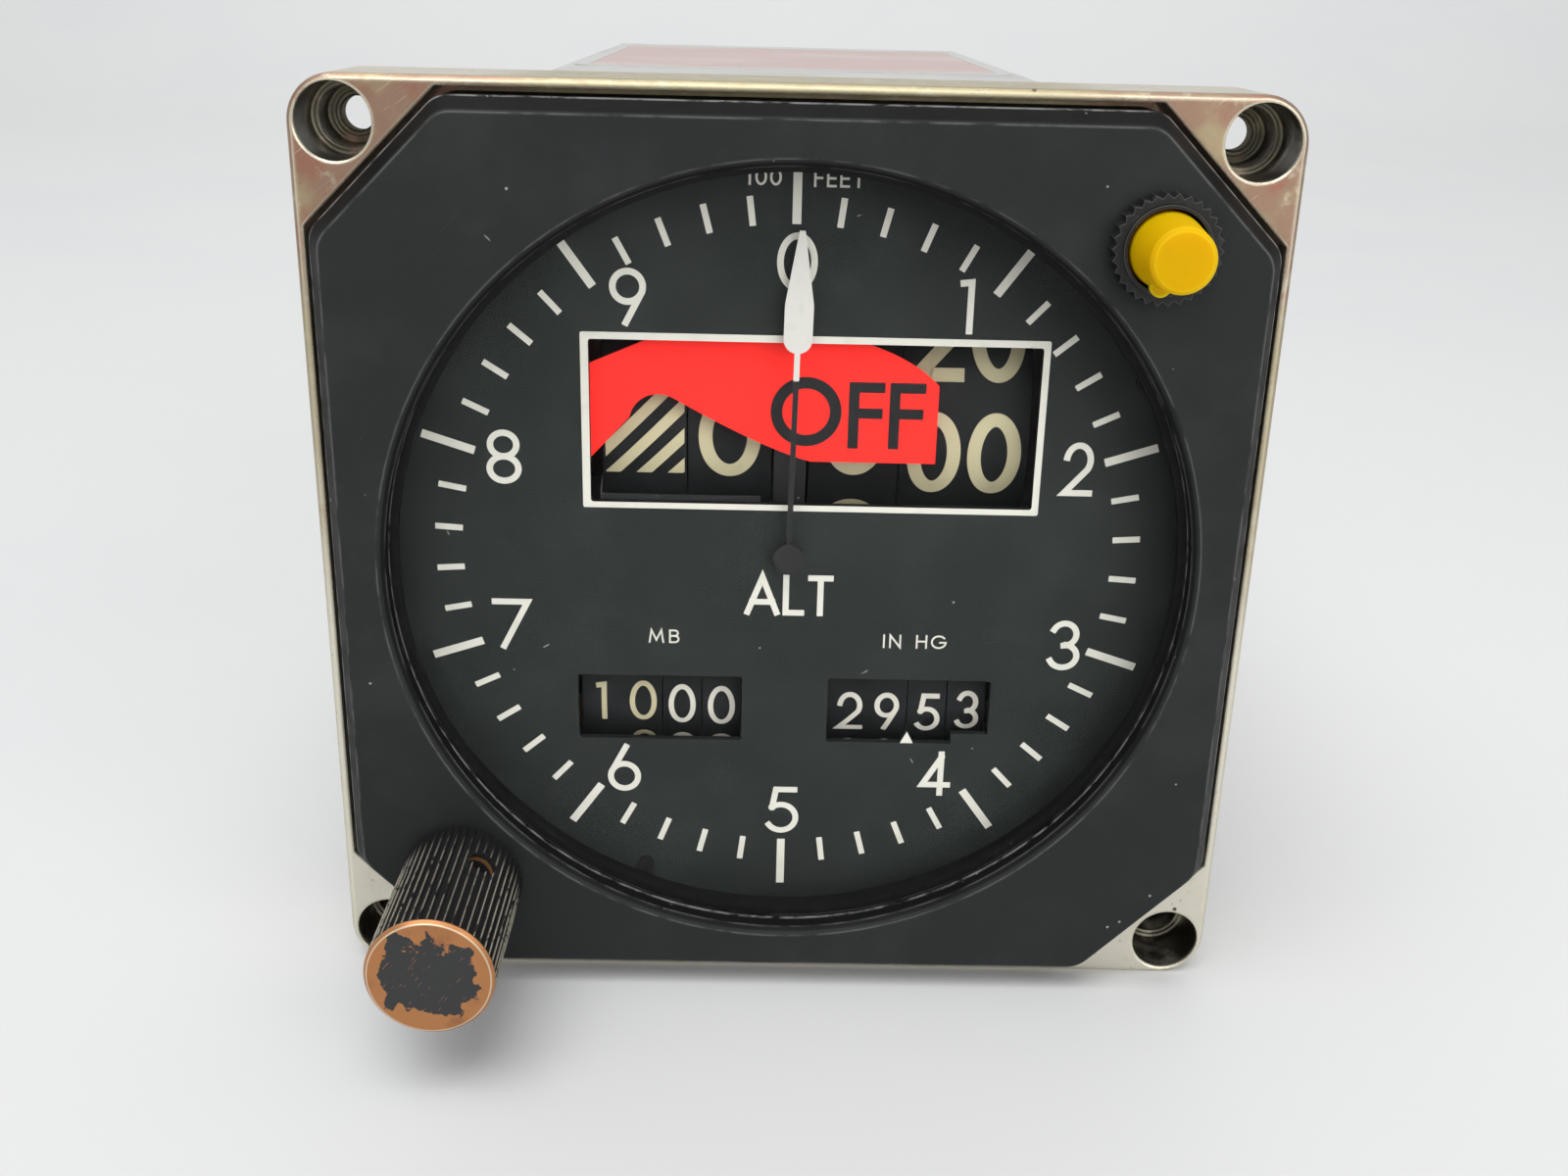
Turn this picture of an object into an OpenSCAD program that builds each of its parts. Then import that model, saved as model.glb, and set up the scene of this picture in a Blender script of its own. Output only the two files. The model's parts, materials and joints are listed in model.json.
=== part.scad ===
// Servo driven counter-pointer altimeter for an instrument panel.
// Millimetres. Origin at the centre of the flange's mounting (rear) face.
// +X right, +Y into the panel, +Z up; the dial looks towards -Y.

/* [Flange] */
// Width and height of the square mounting flange
flange_w = 82.5; // [80:0.5:90]
// Corner radius of the flange
flange_corner_r = 4; // [2:0.5:6]
// Chamfer around the flange's front edge
flange_chamfer = 0.4; // [0.1:0.1:0.6]
// Depth of the flange from its front to its mounting face
flange_d = 10.5; // [10:0.5:14]
// Distance from the flange's edge to a screw axis
hole_inset = 3.75; // [3.6:0.05:3.9]
// Radius of a panel screw's clearance hole
hole_r = 1.8; // [1.5:0.1:2]
// Radius of the middle step of a screw hole
hole_mid_r = 2.5; // [2.2:0.1:2.8]
// Depth of the middle step
hole_mid_d = 3; // [2:0.5:3.5]
// Radius of the counterbore for a screw head
hole_head_r = 3.15; // [3:0.05:3.2]
// Depth of the counterbore
hole_head_d = 5.5; // [4:0.5:6]
// Length of the spigot that enters the case
spigot_l = 4; // [3:0.5:8]
// Depth of the rebate in the mounting face that takes the case's edge
rebate_d = 0.6; // [0.3:0.1:0.7]

/* [Bezel] */
// Width of the flange's rim around the bezel pocket
rim_w = 0.8; // [0.6:0.1:1.2]
// Corner cut of the octagonal pocket, along a side
pocket_leg = 11.25; // [11:0.25:12]
// Depth of the pocket
pocket_d = 4; // [3.5:0.25:4.5]
// Gap between the pocket's wall and the bezel
bezel_gap = 0.6; // [0.3:0.1:0.8]
// Height of the bezel's face above the flange
bezel_proud = 3.1; // [2:0.1:4]
// Width of the bevel around the bezel's face
bevel_w = 1.15; // [0.5:0.05:1.5]
// Depth of that bevel
bevel_d = 2.1; // [1:0.1:2.5]
// Corner radius of the bezel's outline
bezel_round = 2.5; // [1:0.5:4]
// Wall between the glass seat and the bezel's side
bezel_wall = 2.65; // [2:0.05:3]
// Width of the lip that covers the glass edge
lip_w = 2.15; // [1.8:0.05:2.6]
// Thickness of that lip
lip_t = 2.7; // [2:0.1:3]
// Width of the chamfer at the lip's front edge
lip_chamfer = 0.65; // [0.3:0.05:0.9]

/* [Glass and dial] */
// Thickness of the glass gasket
gasket_t = 0.6; // [0.4:0.1:0.8]
// Width of the gasket that shows inside the lip
gasket_show = 0.65; // [0.3:0.05:0.8]
// Thickness of the cover glass
glass_t = 2; // [1.5:0.1:2.2]
// Radial width of the ring between glass and dial
spacer_w = 0.9; // [0.7:0.1:1.2]
// Distance of the dial's face behind the flange's front
dial_setback = 4.75; // [4.6:0.05:5]
// Thickness of the dial plate
dial_t = 0.8; // [0.6:0.1:1]
// Width of the ledge that carries the dial's edge
ledge_w = 1.65; // [1.2:0.05:2]
// Radius of a dial screw's head
dial_screw_r = 0.8; // [0.6:0.05:0.85]

/* [Windows] */
// Corner radius of the windows
win_corner_r = 0.3; // [0.1:0.05:0.5]
// Width of the altitude window
alt_win_w = 39.8; // [38:0.1:40.5]
// Height of the altitude window
alt_win_h = 14.8; // [13:0.1:16]
// Centre of the altitude window to the right of the pointer axis
alt_win_x = 2; // [1.8:0.05:2.2]
// Centre of the altitude window above the pointer axis
alt_win_z = 12; // [11.5:0.1:12.5]
// Width of a pressure window
baro_win_w = 15.4; // [14.5:0.1:15.6]
// Height of a pressure window
baro_win_h = 6.6; // [6:0.1:7]
// Distance of a pressure window's centre from the middle
baro_win_x = 11.75; // [11.6:0.05:11.9]
// Centre of the pressure windows below the pointer axis
baro_win_drop = 15.7; // [15.2:0.1:16.2]
// Height of the ledge in the right pressure window
win_step_h = 1.05; // [0.5:0.05:1.5]
// Width of that ledge
win_step_w = 3.5; // [3:0.1:4]
// Width of the decimal index, which points up
index_w = 1.25; // [0.8:0.05:1.5]

/* [Pointer] */
// Radius from the axis to the pointer's tip
pointer_r = 29.2; // [26:0.1:32]
// Radius at which the blade is widest
pointer_wide_at = 22.9; // [21.5:0.1:24]
// Radius of the blade's round foot
pointer_foot_at = 18.7; // [17:0.1:19.5]
// Width of the blade
pointer_w = 2.5; // [2:0.1:3]
// Width of the tip and of the stem
stem_w = 0.5; // [0.4:0.05:0.7]
// Thickness of the pointer
pointer_t = 0.35; // [0.25:0.05:0.45]
// Gap between the dial's face and the pointer
pointer_gap = 0.85; // [0.7:0.05:0.9]
// Radius of the pointer's hub
pointer_hub_r = 1.35; // [1.2:0.05:1.6]
// Reading at rest, in degrees clockwise from zero
pointer_rest = 1; // [0:0.5:5]
// Radius of the pointer's shaft
pointer_shaft_r = 0.8; // [0.7:0.05:0.9]

/* [Altitude counter] */
// Radius of an altitude drum
drum_r = 17; // [16.5:0.1:17.5]
// Distance of the drums behind the dial plate
drum_setback = 2.45; // [2.2:0.05:3]
// Height of the drum axis above the pointer axis
drum_rise = 10.5; // [10:0.1:11]
// Width of the ten-thousands drum
drum_w_10k = 7.6; // [7.2:0.05:7.8]
// Width of the thousands drum
drum_w_1k = 7.55; // [7.2:0.05:7.7]
// Width of the hundreds drum
drum_w_100 = 8.15; // [7.8:0.05:8.2]
// Width of the two-digit tens drum
drum_w_10 = 11.7; // [11.4:0.05:11.8]
// Gap between neighbouring drums
drum_gap = 0.15; // [0.1:0.05:0.3]
// Space between the two groups of drums, for the middle post
post_space = 3.5; // [3.4:0.05:3.7]
// Thickness of a drum's rim
drum_rim_t = 1.2; // [0.8:0.1:2]
// Radius of the counter shafts
counter_shaft_r = 1.5; // [1.2:0.1:1.8]
// Thickness of the counter frame's side plates
frame_t = 1.2; // [1:0.1:1.3]

/* [Pressure counters] */
// Radius of a pressure drum
baro_r = 9; // [8.5:0.1:9.5]
// Distance of the pressure drums behind the dial plate
baro_setback = 1.3; // [1.2:0.05:1.6]
// Width of a two-digit pressure drum
baro_w_two = 7.6; // [7.3:0.05:7.7]
// Width of a one-digit pressure drum
baro_w_one = 3.65; // [3.5:0.05:3.7]

/* [Warning flag] */
// Distance of the flag behind the dial plate
flag_gap = 0.7; // [0.5:0.05:0.9]
// Thickness of the flag
flag_t = 0.3; // [0.2:0.05:0.4]
// Radius of the flag's drive coil
coil_r = 4.5; // [4:0.1:5]
// Length of the flag's drive coil
coil_l = 12; // [10:0.5:14]

/* [Setting knob] */
// Distance of the knob's and the button's axis outside the glass seat
control_gap = 4.45; // [4.3:0.05:4.8]
// Radius of the setting knob
knob_r = 5.5; // [5:0.1:6]
// Length of the knob
knob_l = 16.5; // [14:0.5:20]
// Number of ridges of the straight knurl
knurl_n = 48; // [40:2:60]
// Depth of the knurl
knurl_d = 0.35; // [0.2:0.05:0.5]
// Gap between knob and bezel
knob_gap = 0.4; // [0.3:0.05:0.6]
// Radius of the set-screw hole in the knob's side
grub_r = 1.3; // [1:0.1:1.5]
// Distance of the set screw from the knob's inner end
grub_at = 5.3; // [4:0.1:7]
// Direction of the set screw, in degrees from +X towards +Z
grub_angle = 57; // [30:1:90]
// Radius of the setting shaft
knob_shaft_r = 1.5; // [1.2:0.1:1.6]

/* [Push button] */
// Radius of the button's cap at its root
cap_r = 3.2; // [3:0.05:3.25]
// Radius of the cap at its front
cap_tip_r = 2.6; // [2.3:0.05:2.8]
// Length of the cap in front of the bezel
cap_l = 7.3; // [6:0.1:8]
// Radius of the moulding lug on the cap's side
cap_lug_r = 0.85; // [0.4:0.05:1]
// Travel of the button
press_travel = 1.5; // [1:0.1:2]
// Radius of the switch bushing
bushing_r = 3.6; // [3.55:0.05:3.7]
// Outer radius of the serrated nut
nut_r = 4.5; // [4.3:0.05:4.6]
// Thickness of the nut
nut_t = 1.8; // [1.2:0.1:2]
// Number of teeth of the nut
nut_teeth = 30; // [24:2:36]

/* [Case] */
// Step from the flange's side in to the case's side
case_step = 1.05; // [0.8:0.05:1.3]
// Gap between the setting shaft and the case's corner wall
shaft_room = 1.05; // [0.8:0.05:1.3]
// Depth of the case behind the flange
case_d = 101; // [98:1:115]
// Wall of the case
case_wall = 1.2; // [0.9:0.1:1.4]

/* [Rear connector] */
// Width of the connector's square flange
conn_w = 26; // [25:0.5:30]
// Outer radius of the connector's shell
conn_r = 10.5; // [10:0.1:11]
// Length of the shell behind the case
conn_l = 14; // [12:0.5:18]
// Radius of a contact pin
pin_r = 0.6; // [0.4:0.05:0.8]

/* [Works] */
// Gap between the altitude drums and the bar behind them
drum_room = 0.5; // [0.3:0.1:2]
// Thickness of the main plate and the back plate
plate_t = 2.5; // [2:0.1:3]
// Free height between the two plates
bay_h = 12; // [11.5:0.25:14]
// Tooth module of the altitude gears
gear_m = 0.6; // [0.55:0.01:0.62]
// Teeth of the pointer gear
pointer_teeth = 60; // [56:2:62]
// Teeth of the motor pinion
motor_teeth = 12; // [12:1:14]
// Teeth of the synchro gear
synchro_teeth = 36; // [32:2:38]
// Tooth module of the pressure gears
baro_m = 0.35; // [0.33:0.01:0.36]
// Teeth of the setting shaft's pinion
knob_teeth = 10; // [10:1:11]
// Teeth of the pressure gear
baro_teeth = 44; // [40:2:46]
// Thickness of the gears
gear_t = 2.5; // [2:0.1:3]
// Radius of the servo motor
motor_r = 11; // [9:0.5:12]
// Free length behind the servo motor
motor_room = 4; // [2:0.5:8]
// Radius of the feedback synchro
synchro_r = 10; // [9:0.5:11]
// Free length behind the feedback synchro
synchro_room = 6; // [2:0.5:10]
// Space between the circuit board and the case's end wall
board_room = 12.8; // [12.5:0.1:15]
// Radius of the pillars
pillar_r = 2.5; // [2:0.1:2.8]
// Thickness of the circuit board
board_t = 1.6; // [1:0.1:2]

/* [Hidden] */
$fn = 64;
run_gap = 0.05;   // radial clearance of a shaft that turns
seat_gap = 0.02;  // radial clearance of what is fixed on a shaft
slip_gap = 0.15;  // radial clearance of pieces that are dropped in
clear = 0.3;      // least distance between pieces that pass each other
cut = 0.5;        // overshoot of a cutting solid

// Planes along Y, from the front
y_front = -flange_d;
y_bezel = y_front - bezel_proud;
y_floor = y_front + pocket_d;
y_lip = y_bezel + lip_t;
y_glass = y_lip + gasket_t;
y_spacer = y_glass + glass_t;
y_dial = y_front + dial_setback;
y_dial_back = y_dial + dial_t;
y_pointer = y_dial - pointer_gap;
y_flag = y_dial_back + flag_gap;
drum_y = y_dial_back + drum_setback + drum_r;
bar_d = 2;
main_plate_y = drum_y + drum_r + drum_room + bar_d;
gear_lift = 3.5;
y_gears = main_plate_y + plate_t + gear_lift;
y_back_plate = main_plate_y + plate_t + bay_h;
y_motor = y_back_plate + plate_t;
y_case_wall = case_d - case_wall;
y_board = y_case_wall - board_room;

pointer_cap_t = 0.35;
pointer_boss_t = 0.25;

// Octagons: half width and corner cut, stepped in from the flange; the case clears the setting shaft
function inset_leg(leg, d) = leg - d * (2 - sqrt(2));
pocket_h = flange_w / 2 - rim_w;
bezel_h = pocket_h - bezel_gap;
bezel_leg = inset_leg(pocket_leg, bezel_gap);
seat_r = bezel_h - bezel_wall;
control_out = seat_r + control_gap;
case_h = flange_w / 2 - case_step;
case_leg = 2 * case_h - sqrt(2) * (control_out + knob_shaft_r + shaft_room + case_wall);
case_in_h = case_h - case_wall;
case_in_leg = inset_leg(case_leg, case_wall);
spigot_h = case_in_h - slip_gap;
spigot_leg = inset_leg(case_leg, case_wall + slip_gap);
plate_inset = 1.5;
plate_h = case_in_h - plate_inset;
plate_leg = inset_leg(case_leg, case_wall + plate_inset);
hole_at = flange_w / 2 - hole_inset;

// Radii of the glass stack
opening_r = seat_r - lip_w;
glass_r = seat_r - slip_gap;
dial_r = glass_r;
ledge_r = dial_r - ledge_w;
dial_screw_angles = [202, 322, 62];
dial_screw_pcr = dial_r - spacer_w - dial_screw_r - clear;
dial_screw_t = 0.4;
dial_screw_l = 3;
dial_shank_r = 0.45;
screw_lug_r = 2;
control_at = control_out / sqrt(2);

// Altitude drums: [left side, width]
drum_x_1k = -post_space / 2 - drum_w_1k;
drum_x_10k = drum_x_1k - drum_gap - drum_w_10k;
drum_x_100 = post_space / 2;
drum_x_10 = drum_x_100 + drum_w_100 + drum_gap;
drum_right = drum_x_10 + drum_w_10;
hub_wall = 1.7;
drum_hub_r = counter_shaft_r + hub_wall;

// Counter frame: a left plate, a middle post and a right plate on a bar
frame_left = drum_x_10k - clear - frame_t;
frame_right = drum_right + clear;
post_w = post_space - 2 * clear;
post_foot = 3;
post_head = 2;
frame_h = 12;

// Pressure drums
baro_y = y_dial_back + baro_setback + baro_r;
baro_gap = 0.12;
baro_rim_t = 0.9;
baro_ear_h = 7;
baro_leg_r = 2;
baro_leg_x = 8;
baro_set_w = baro_w_two + 2 * baro_w_one + 2 * baro_gap;
baro_hub_wall = 1.2;
baro_hub_r = counter_shaft_r + baro_hub_wall;
baro_frame_x = baro_win_x + baro_set_w / 2 + clear;
baro_bar_y = baro_y + baro_r + clear;

// Warning flag, hung on the left of the altitude window
flag_pivot = [-25.4, 6.2];
flag_left = -18;
flag_bend = 5;
flag_right = 13.1;
flag_drop = 4.1;
flag_foot = 8.3;
flag_foot_x = 1.8;
foot_rise = 1;
notch_at = [-11.9, 11.6];
notch_r = 2.65;
arm_r = 2.4;
spindle_r = 0.75;
collar_w = 0.8;
collar_t = 1.5;
coil_room = 4;
coil_y = y_flag + flag_t + coil_room;
coil_groove_w = 1.2;
coil_groove_d = 0.5;
bracket_t = 1.5;

// Setting shaft and its gears
knob_y = y_bezel - knob_gap;
knob_edge = 0.4;
knob_face_t = 3;
knob_bush_r = 2.9;
knob_bush_end = -1;
pinion_room = 3;
knob_pinion_y = baro_bar_y + bar_d + pinion_room;
baro_gear_off = baro_m * (knob_teeth + baro_teeth) / 2;
baro_gear_at = control_at - baro_gear_off / sqrt(2);
grub_l = 2.2;
pot_r = 9;
pot_l = bay_h - 1;
pot_step = 1.5;
end_wall = 0.7;
baro_gear_hub_r = 2.5;
gear_shaft_r = 1.2;
gear_hub_r = 3;
gear_hub_l = 2;
nose_r = 5;
bush_r = 3;
bush_rim_w = 1;
bush_rim_t = 1;
motor_l = y_board - y_motor - motor_room;
synchro_l = y_board - y_motor - synchro_room;
unit_step = 1.5;
unit_cap_l = 4;

// Altitude gears; motor at the lower right, synchro at the upper left
motor_angle = -45;
synchro_angle = 135;
motor_off = gear_m * (pointer_teeth + motor_teeth) / 2;
synchro_off = gear_m * (pointer_teeth + synchro_teeth) / 2;
addendum = 0.65;  // stub teeth, as a share of the module
dedendum = 0.95;
backlash = 0.12;  // share of the module taken off each tooth

// Pillars: two corners in front, four sides behind
pillar_inset = 2;
post_at = plate_h - pillar_r - pillar_inset;
post_side = plate_h - plate_leg - 1;
front_pillars_at = [
    [-post_at, post_side], [-post_side, post_at], [post_at, -post_side], [post_side, -post_at]
];
rear_pillars_at = [[post_at, 0], [0, post_at], [-post_at, 0], [0, -post_at]];
post_step = 0.6;
post_tip_r = pillar_r - post_step;
wire_hole_at = 20;
wire_hole_r = 5;
core = [12, 8, 18];
can_r = 5;
can_at = 7;
chip = [6, 3, 12];
chip_pitch = 11;
screw_r = 1.1;
screw_head_r = 2.1;
screw_head_t = 1.3;
case_screw_l = 6;

// Push button
cap_gap = 0.12;
bushing_in_r = cap_r + cap_gap;
bushing_out = nut_t + clear;
switch_end = -1.2;
switch_floor_t = 1.2;
plunger_r = 1.2;
spring_turns = 4;
spring_wire_r = 0.3;
spring_room = 0.9;
cap_root_y = y_bezel + press_travel + 1;
cap_edge = 0.3;
lug_angle = 248;
lug_y = y_bezel - bushing_out - press_travel - clear;
lug_t = 0.7;
lead_r = 0.4;
lead_at = 1;

// Rear connector
conn_flange_t = 2.2;
conn_shell_t = 1.2;
conn_inner_l = 6;
insert_face = 4;
pin_pitch = 3.4;
pin_out = 4;
pin_tail = 1;
conn_corner_r = 2;
conn_neck_step = 0.4;
conn_neck_r = conn_r - conn_neck_step;
conn_screw_in = 3;
conn_screw_l = conn_flange_t + conn_screw_in;
conn_screw_inset = 3;
conn_screw_at = conn_w / 2 - conn_screw_inset;

// Shared shapes

// Draws a flat outline in X and Z and gives it depth from y0 to y1
module slab(y0, y1) {
    translate([0, y1, 0]) rotate([90, 0, 0]) linear_extrude(y1 - y0) children();
}

// Round bar along Y, through x and z
module rod(x, z, r, y0, y1) {
    translate([x, y0, z]) rotate([-90, 0, 0]) cylinder(r = r, h = y1 - y0);
}

// Round bar along X, through y and z
module cross_rod(y, z, r, x0, x1) {
    translate([x0, y, z]) rotate([0, 90, 0]) cylinder(r = r, h = x1 - x0);
}

// Solid of revolution about an axis along Y; the profile holds [radius, y]
module turned(x, z, profile) {
    translate([x, 0, z]) rotate([-90, 0, 0]) rotate_extrude() polygon(profile);
}

// Octagon with flat sides at h and corners cut by leg
module octagon(h, leg) {
    c = h - leg;
    polygon([[h, c], [c, h], [-c, h], [-h, c], [-h, -c], [-c, -h], [c, -h], [h, -c]]);
}

// Octagon whose eight corners are rounded
module round_octagon(h, leg, r) {
    offset(r = r, $fn = 48) offset(delta = -r) octagon(h, leg);
}

// Square with round corners
module round_square(w, r) {
    square([w - 2 * r, w], center = true);
    square([w, w - 2 * r], center = true);
    for (x = [-1, 1], z = [-1, 1]) translate([x, z] * (w / 2 - r)) circle(r);
}

// Rectangle of w by h about a centre, with small round corners
module panel(x, z, w, h) {
    r = win_corner_r;
    translate([x, z]) {
        square([w - 2 * r, h], center = true);
        square([w, h - 2 * r], center = true);
        for (i = [-1, 1], k = [-1, 1]) translate([i * (w / 2 - r), k * (h / 2 - r)]) circle(r);
    }
}

// Involute gear outline: roll angle, flank half angle and points
function roll(rb, r) = sqrt(max(0, pow(r / rb, 2) - 1)) * 180 / PI;
function involute(rb, r) = roll(rb, r) - atan(roll(rb, r) * PI / 180);
function half_tooth(n, m, r) =
    let (rp = n * m / 2, rb = rp * cos(20))
    90 / n - backlash * m / rp * 90 / PI + involute(rb, rp) - involute(rb, max(r, rb));
function on_circle(r, a) = r * [cos(a), sin(a)];
function gear_points(n, m) =
    let (rp = n * m / 2)
    let (radii = [rp - dedendum * m, rp - 0.3 * m, rp + 0.2 * m, rp + addendum * m])
    [for (i = [0 : n - 1], side = [-1, 1], k = [0 : 3])
        let (r = radii[side < 0 ? k : 3 - k])
        on_circle(r, i * 360 / n + side * half_tooth(n, m, r))];

// Turn that puts gear b in mesh with gear a, seen from a at the given angle
function mesh_turn(na, nb, angle) = angle * (1 + na / nb) + 180 + 180 / nb;

// Toothed wheel along Y
module wheel(n, m, turn, y0, y1) {
    slab(y0, y1) rotate(turn) polygon(gear_points(n, m));
}

// Figure drum on a cross axis: rim, web and hub
module drum(y, z, x0, w, r, rim_t, hub_r) {
    bore = counter_shaft_r + run_gap;
    web = min(1.2, w / 3);
    a = (w - web) / 2;
    b = a + web;
    ri = r - rim_t;
    translate([x0, y, z]) rotate([0, 90, 0]) rotate_extrude()
        polygon([
            [bore, 0], [hub_r, 0], [hub_r, a], [ri, a], [ri, 0], [r, 0],
            [r, w], [ri, w], [ri, b], [hub_r, b], [hub_r, w], [bore, w]
        ]);
}

module altitude_drum(x0, w) {
    color("dimgray") drum(drum_y, drum_rise, x0, w, drum_r, drum_rim_t, drum_hub_r);
}

// Pressure drum number i of a set that starts at x0; the first is the wide one
module pressure_drum(side, i) {
    x0 = side * baro_win_x - baro_set_w / 2;
    start = x0 + (i > 0 ? baro_w_two + baro_gap : 0) + (i > 1 ? baro_w_one + baro_gap : 0);
    color("dimgray")
        drum(baro_y, -baro_win_drop, start, i == 0 ? baro_w_two : baro_w_one, baro_r, baro_rim_t,
            baro_hub_r);
}

// Pan-head screw along Y; the head stands in front of y, towards the given side
module pan_screw(x, z, y, side, shank_l) {
    head = side * screw_head_t;
    rod(x, z, screw_head_r, min(y, y + head), max(y, y + head));
    rod(x, z, screw_r, min(y, y - side * shank_l), max(y, y - side * shank_l));
}

// Front of the instrument

// Square block with round corners and a chamfered front edge
module flange_block() {
    r = flange_corner_r;
    c = flange_chamfer;
    half = flange_w / 2;
    in = half - r;
    section = [[-half, 0], [-half, y_front + c], [c - half, y_front], [half - c, y_front],
        [half, y_front + c], [half, 0]];
    for (x = [-in, in], z = [-in, in])
        turned(x, z, [[0, y_front], [r - c, y_front], [r, y_front + c], [r, 0], [0, 0]]);
    translate([0, 0, -in]) linear_extrude(2 * in) polygon(section);
    translate([-in, 0, 0]) rotate([90, 0, 90]) linear_extrude(2 * in)
        polygon([for (p = section) [p[1], p[0]]]);
}

module flange() {
    color("tan") difference() {
        union() {
            flange_block();
            slab(0, spigot_l) octagon(spigot_h, spigot_leg);
        }
        difference() {
            slab(-rebate_d, cut) octagon(case_h + slip_gap, inset_leg(case_leg, -slip_gap));
            slab(-rebate_d - cut, 2 * cut) octagon(spigot_h, spigot_leg);
        }
        slab(y_front - cut, y_floor) octagon(pocket_h, pocket_leg);
        rod(0, 0, dial_r + slip_gap, y_floor - cut, y_dial_back);
        difference() {
            rod(0, 0, ledge_r, y_dial_back - cut, spigot_l + cut);
            for (a = dial_screw_angles)
                dial_screw_rod(a, screw_lug_r, y_dial_back, 0);
        }
        for (x = [-hole_at, hole_at], z = [-hole_at, hole_at]) {
            rod(x, z, hole_r, y_front - cut, cut);
            rod(x, z, hole_mid_r, y_front - cut, y_front + hole_head_d + hole_mid_d);
            rod(x, z, hole_head_r, y_front - cut, y_front + hole_head_d);
        }
        for (a = dial_screw_angles)
            dial_screw_rod(a, dial_shank_r + run_gap, y_dial_back - cut, y_dial + dial_screw_l + cut);
        rod(-control_at, -control_at, knob_bush_r + seat_gap, y_floor - cut, knob_bush_end);
        rod(-control_at, -control_at, knob_shaft_r + slip_gap, y_floor, spigot_l + cut);
        rod(control_at, control_at, bushing_r + slip_gap, y_floor - cut, switch_end);
        for (x = [-lead_at, lead_at])
            rod(control_at + x, control_at - lead_at, lead_r + slip_gap, switch_end - cut, spigot_l + cut);
    }
}

module bezel() {
    face_h = bezel_h - bevel_w;
    face_leg = inset_leg(bezel_leg, bevel_w);
    color("dimgray") difference() {
        hull() {
            slab(y_bezel + bevel_d, y_floor) round_octagon(bezel_h, bezel_leg, bezel_round);
            slab(y_bezel, y_floor) round_octagon(face_h, face_leg, bezel_round);
        }
        rod(0, 0, opening_r, y_bezel - cut, y_floor + cut);
        rod(0, 0, seat_r, y_lip, y_floor + cut);
        turned(0, 0, [
            [0, y_bezel - cut], [opening_r + lip_chamfer + cut, y_bezel - cut],
            [opening_r + lip_chamfer, y_bezel], [opening_r, y_bezel + lip_chamfer],
            [0, y_bezel + lip_chamfer]
        ]);
        rod(-control_at, -control_at, knob_bush_r + seat_gap, y_bezel - cut, y_floor + cut);
        rod(control_at, control_at, bushing_r + seat_gap, y_bezel - cut, y_floor + cut);
    }
}

module glass_gasket() {
    color("black") difference() {
        rod(0, 0, glass_r, y_lip, y_glass);
        rod(0, 0, opening_r - gasket_show, y_lip - cut, y_glass + cut);
    }
}

module cover_glass() {
    color("lightcyan", 0.3) rod(0, 0, glass_r, y_glass, y_spacer);
}

module spacer_ring() {
    color("black") difference() {
        rod(0, 0, glass_r, y_spacer, y_dial);
        rod(0, 0, glass_r - spacer_w, y_spacer - cut, y_dial + cut);
    }
}

// Right pressure window, with its ledge and its decimal index left standing
module right_window() {
    right = baro_win_x + baro_win_w / 2;
    foot = -baro_win_drop - baro_win_h / 2;
    difference() {
        panel(baro_win_x, -baro_win_drop, baro_win_w, baro_win_h);
        translate([right - win_step_w, foot]) square([win_step_w, win_step_h]);
        translate([baro_win_x - index_w / 2, foot])
            polygon([[0, 0], [index_w, 0], [index_w / 2, index_w]]);
    }
}

module dial() {
    color("darkslategray") difference() {
        rod(0, 0, dial_r, y_dial, y_dial_back);
        slab(y_dial - cut, y_dial_back + cut) {
            panel(alt_win_x, alt_win_z, alt_win_w, alt_win_h);
            panel(-baro_win_x, -baro_win_drop, baro_win_w, baro_win_h);
            right_window();
        }
        rod(0, 0, pointer_shaft_r + clear, y_dial - cut, y_dial_back + cut);
        for (a = dial_screw_angles)
            dial_screw_rod(a, dial_shank_r + 2 * run_gap, y_dial - cut, y_dial_back + cut);
    }
}

// Round bar on the circle of dial screws, at an angle clockwise from the top
module dial_screw_rod(a, r, y0, y1) {
    rod(dial_screw_pcr * sin(a), dial_screw_pcr * cos(a), r, y0, y1);
}

module dial_screws() {
    color("black") for (a = dial_screw_angles) {
        dial_screw_rod(a, dial_screw_r, y_dial - dial_screw_t, y_dial);
        dial_screw_rod(a, dial_shank_r, y_dial, y_dial + dial_screw_l);
    }
}

// Pointer and its drive

module pointer() {
    foot = pointer_foot_at + pointer_w / 2;
    color("white") difference() {
        rotate([0, pointer_rest, 0]) {
            slab(y_pointer - pointer_t, y_pointer) {
                polygon([
                    [-stem_w / 2, pointer_r], [stem_w / 2, pointer_r],
                    [pointer_w / 2, pointer_wide_at], [pointer_w / 2, foot],
                    [-pointer_w / 2, foot], [-pointer_w / 2, pointer_wide_at]
                ]);
                translate([0, foot]) circle(pointer_w / 2);
                translate([-stem_w / 2, 0]) square([stem_w, foot]);
            }
            rod(0, 0, pointer_hub_r, y_pointer - pointer_t - pointer_cap_t, y_pointer + pointer_boss_t);
        }
        rod(0, 0, pointer_shaft_r + seat_gap, y_pointer - pointer_t, y_pointer + 1);
    }
}

module pointer_shaft() {
    color("silver") rod(0, 0, pointer_shaft_r, y_pointer - pointer_t, y_motor);
}

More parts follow.
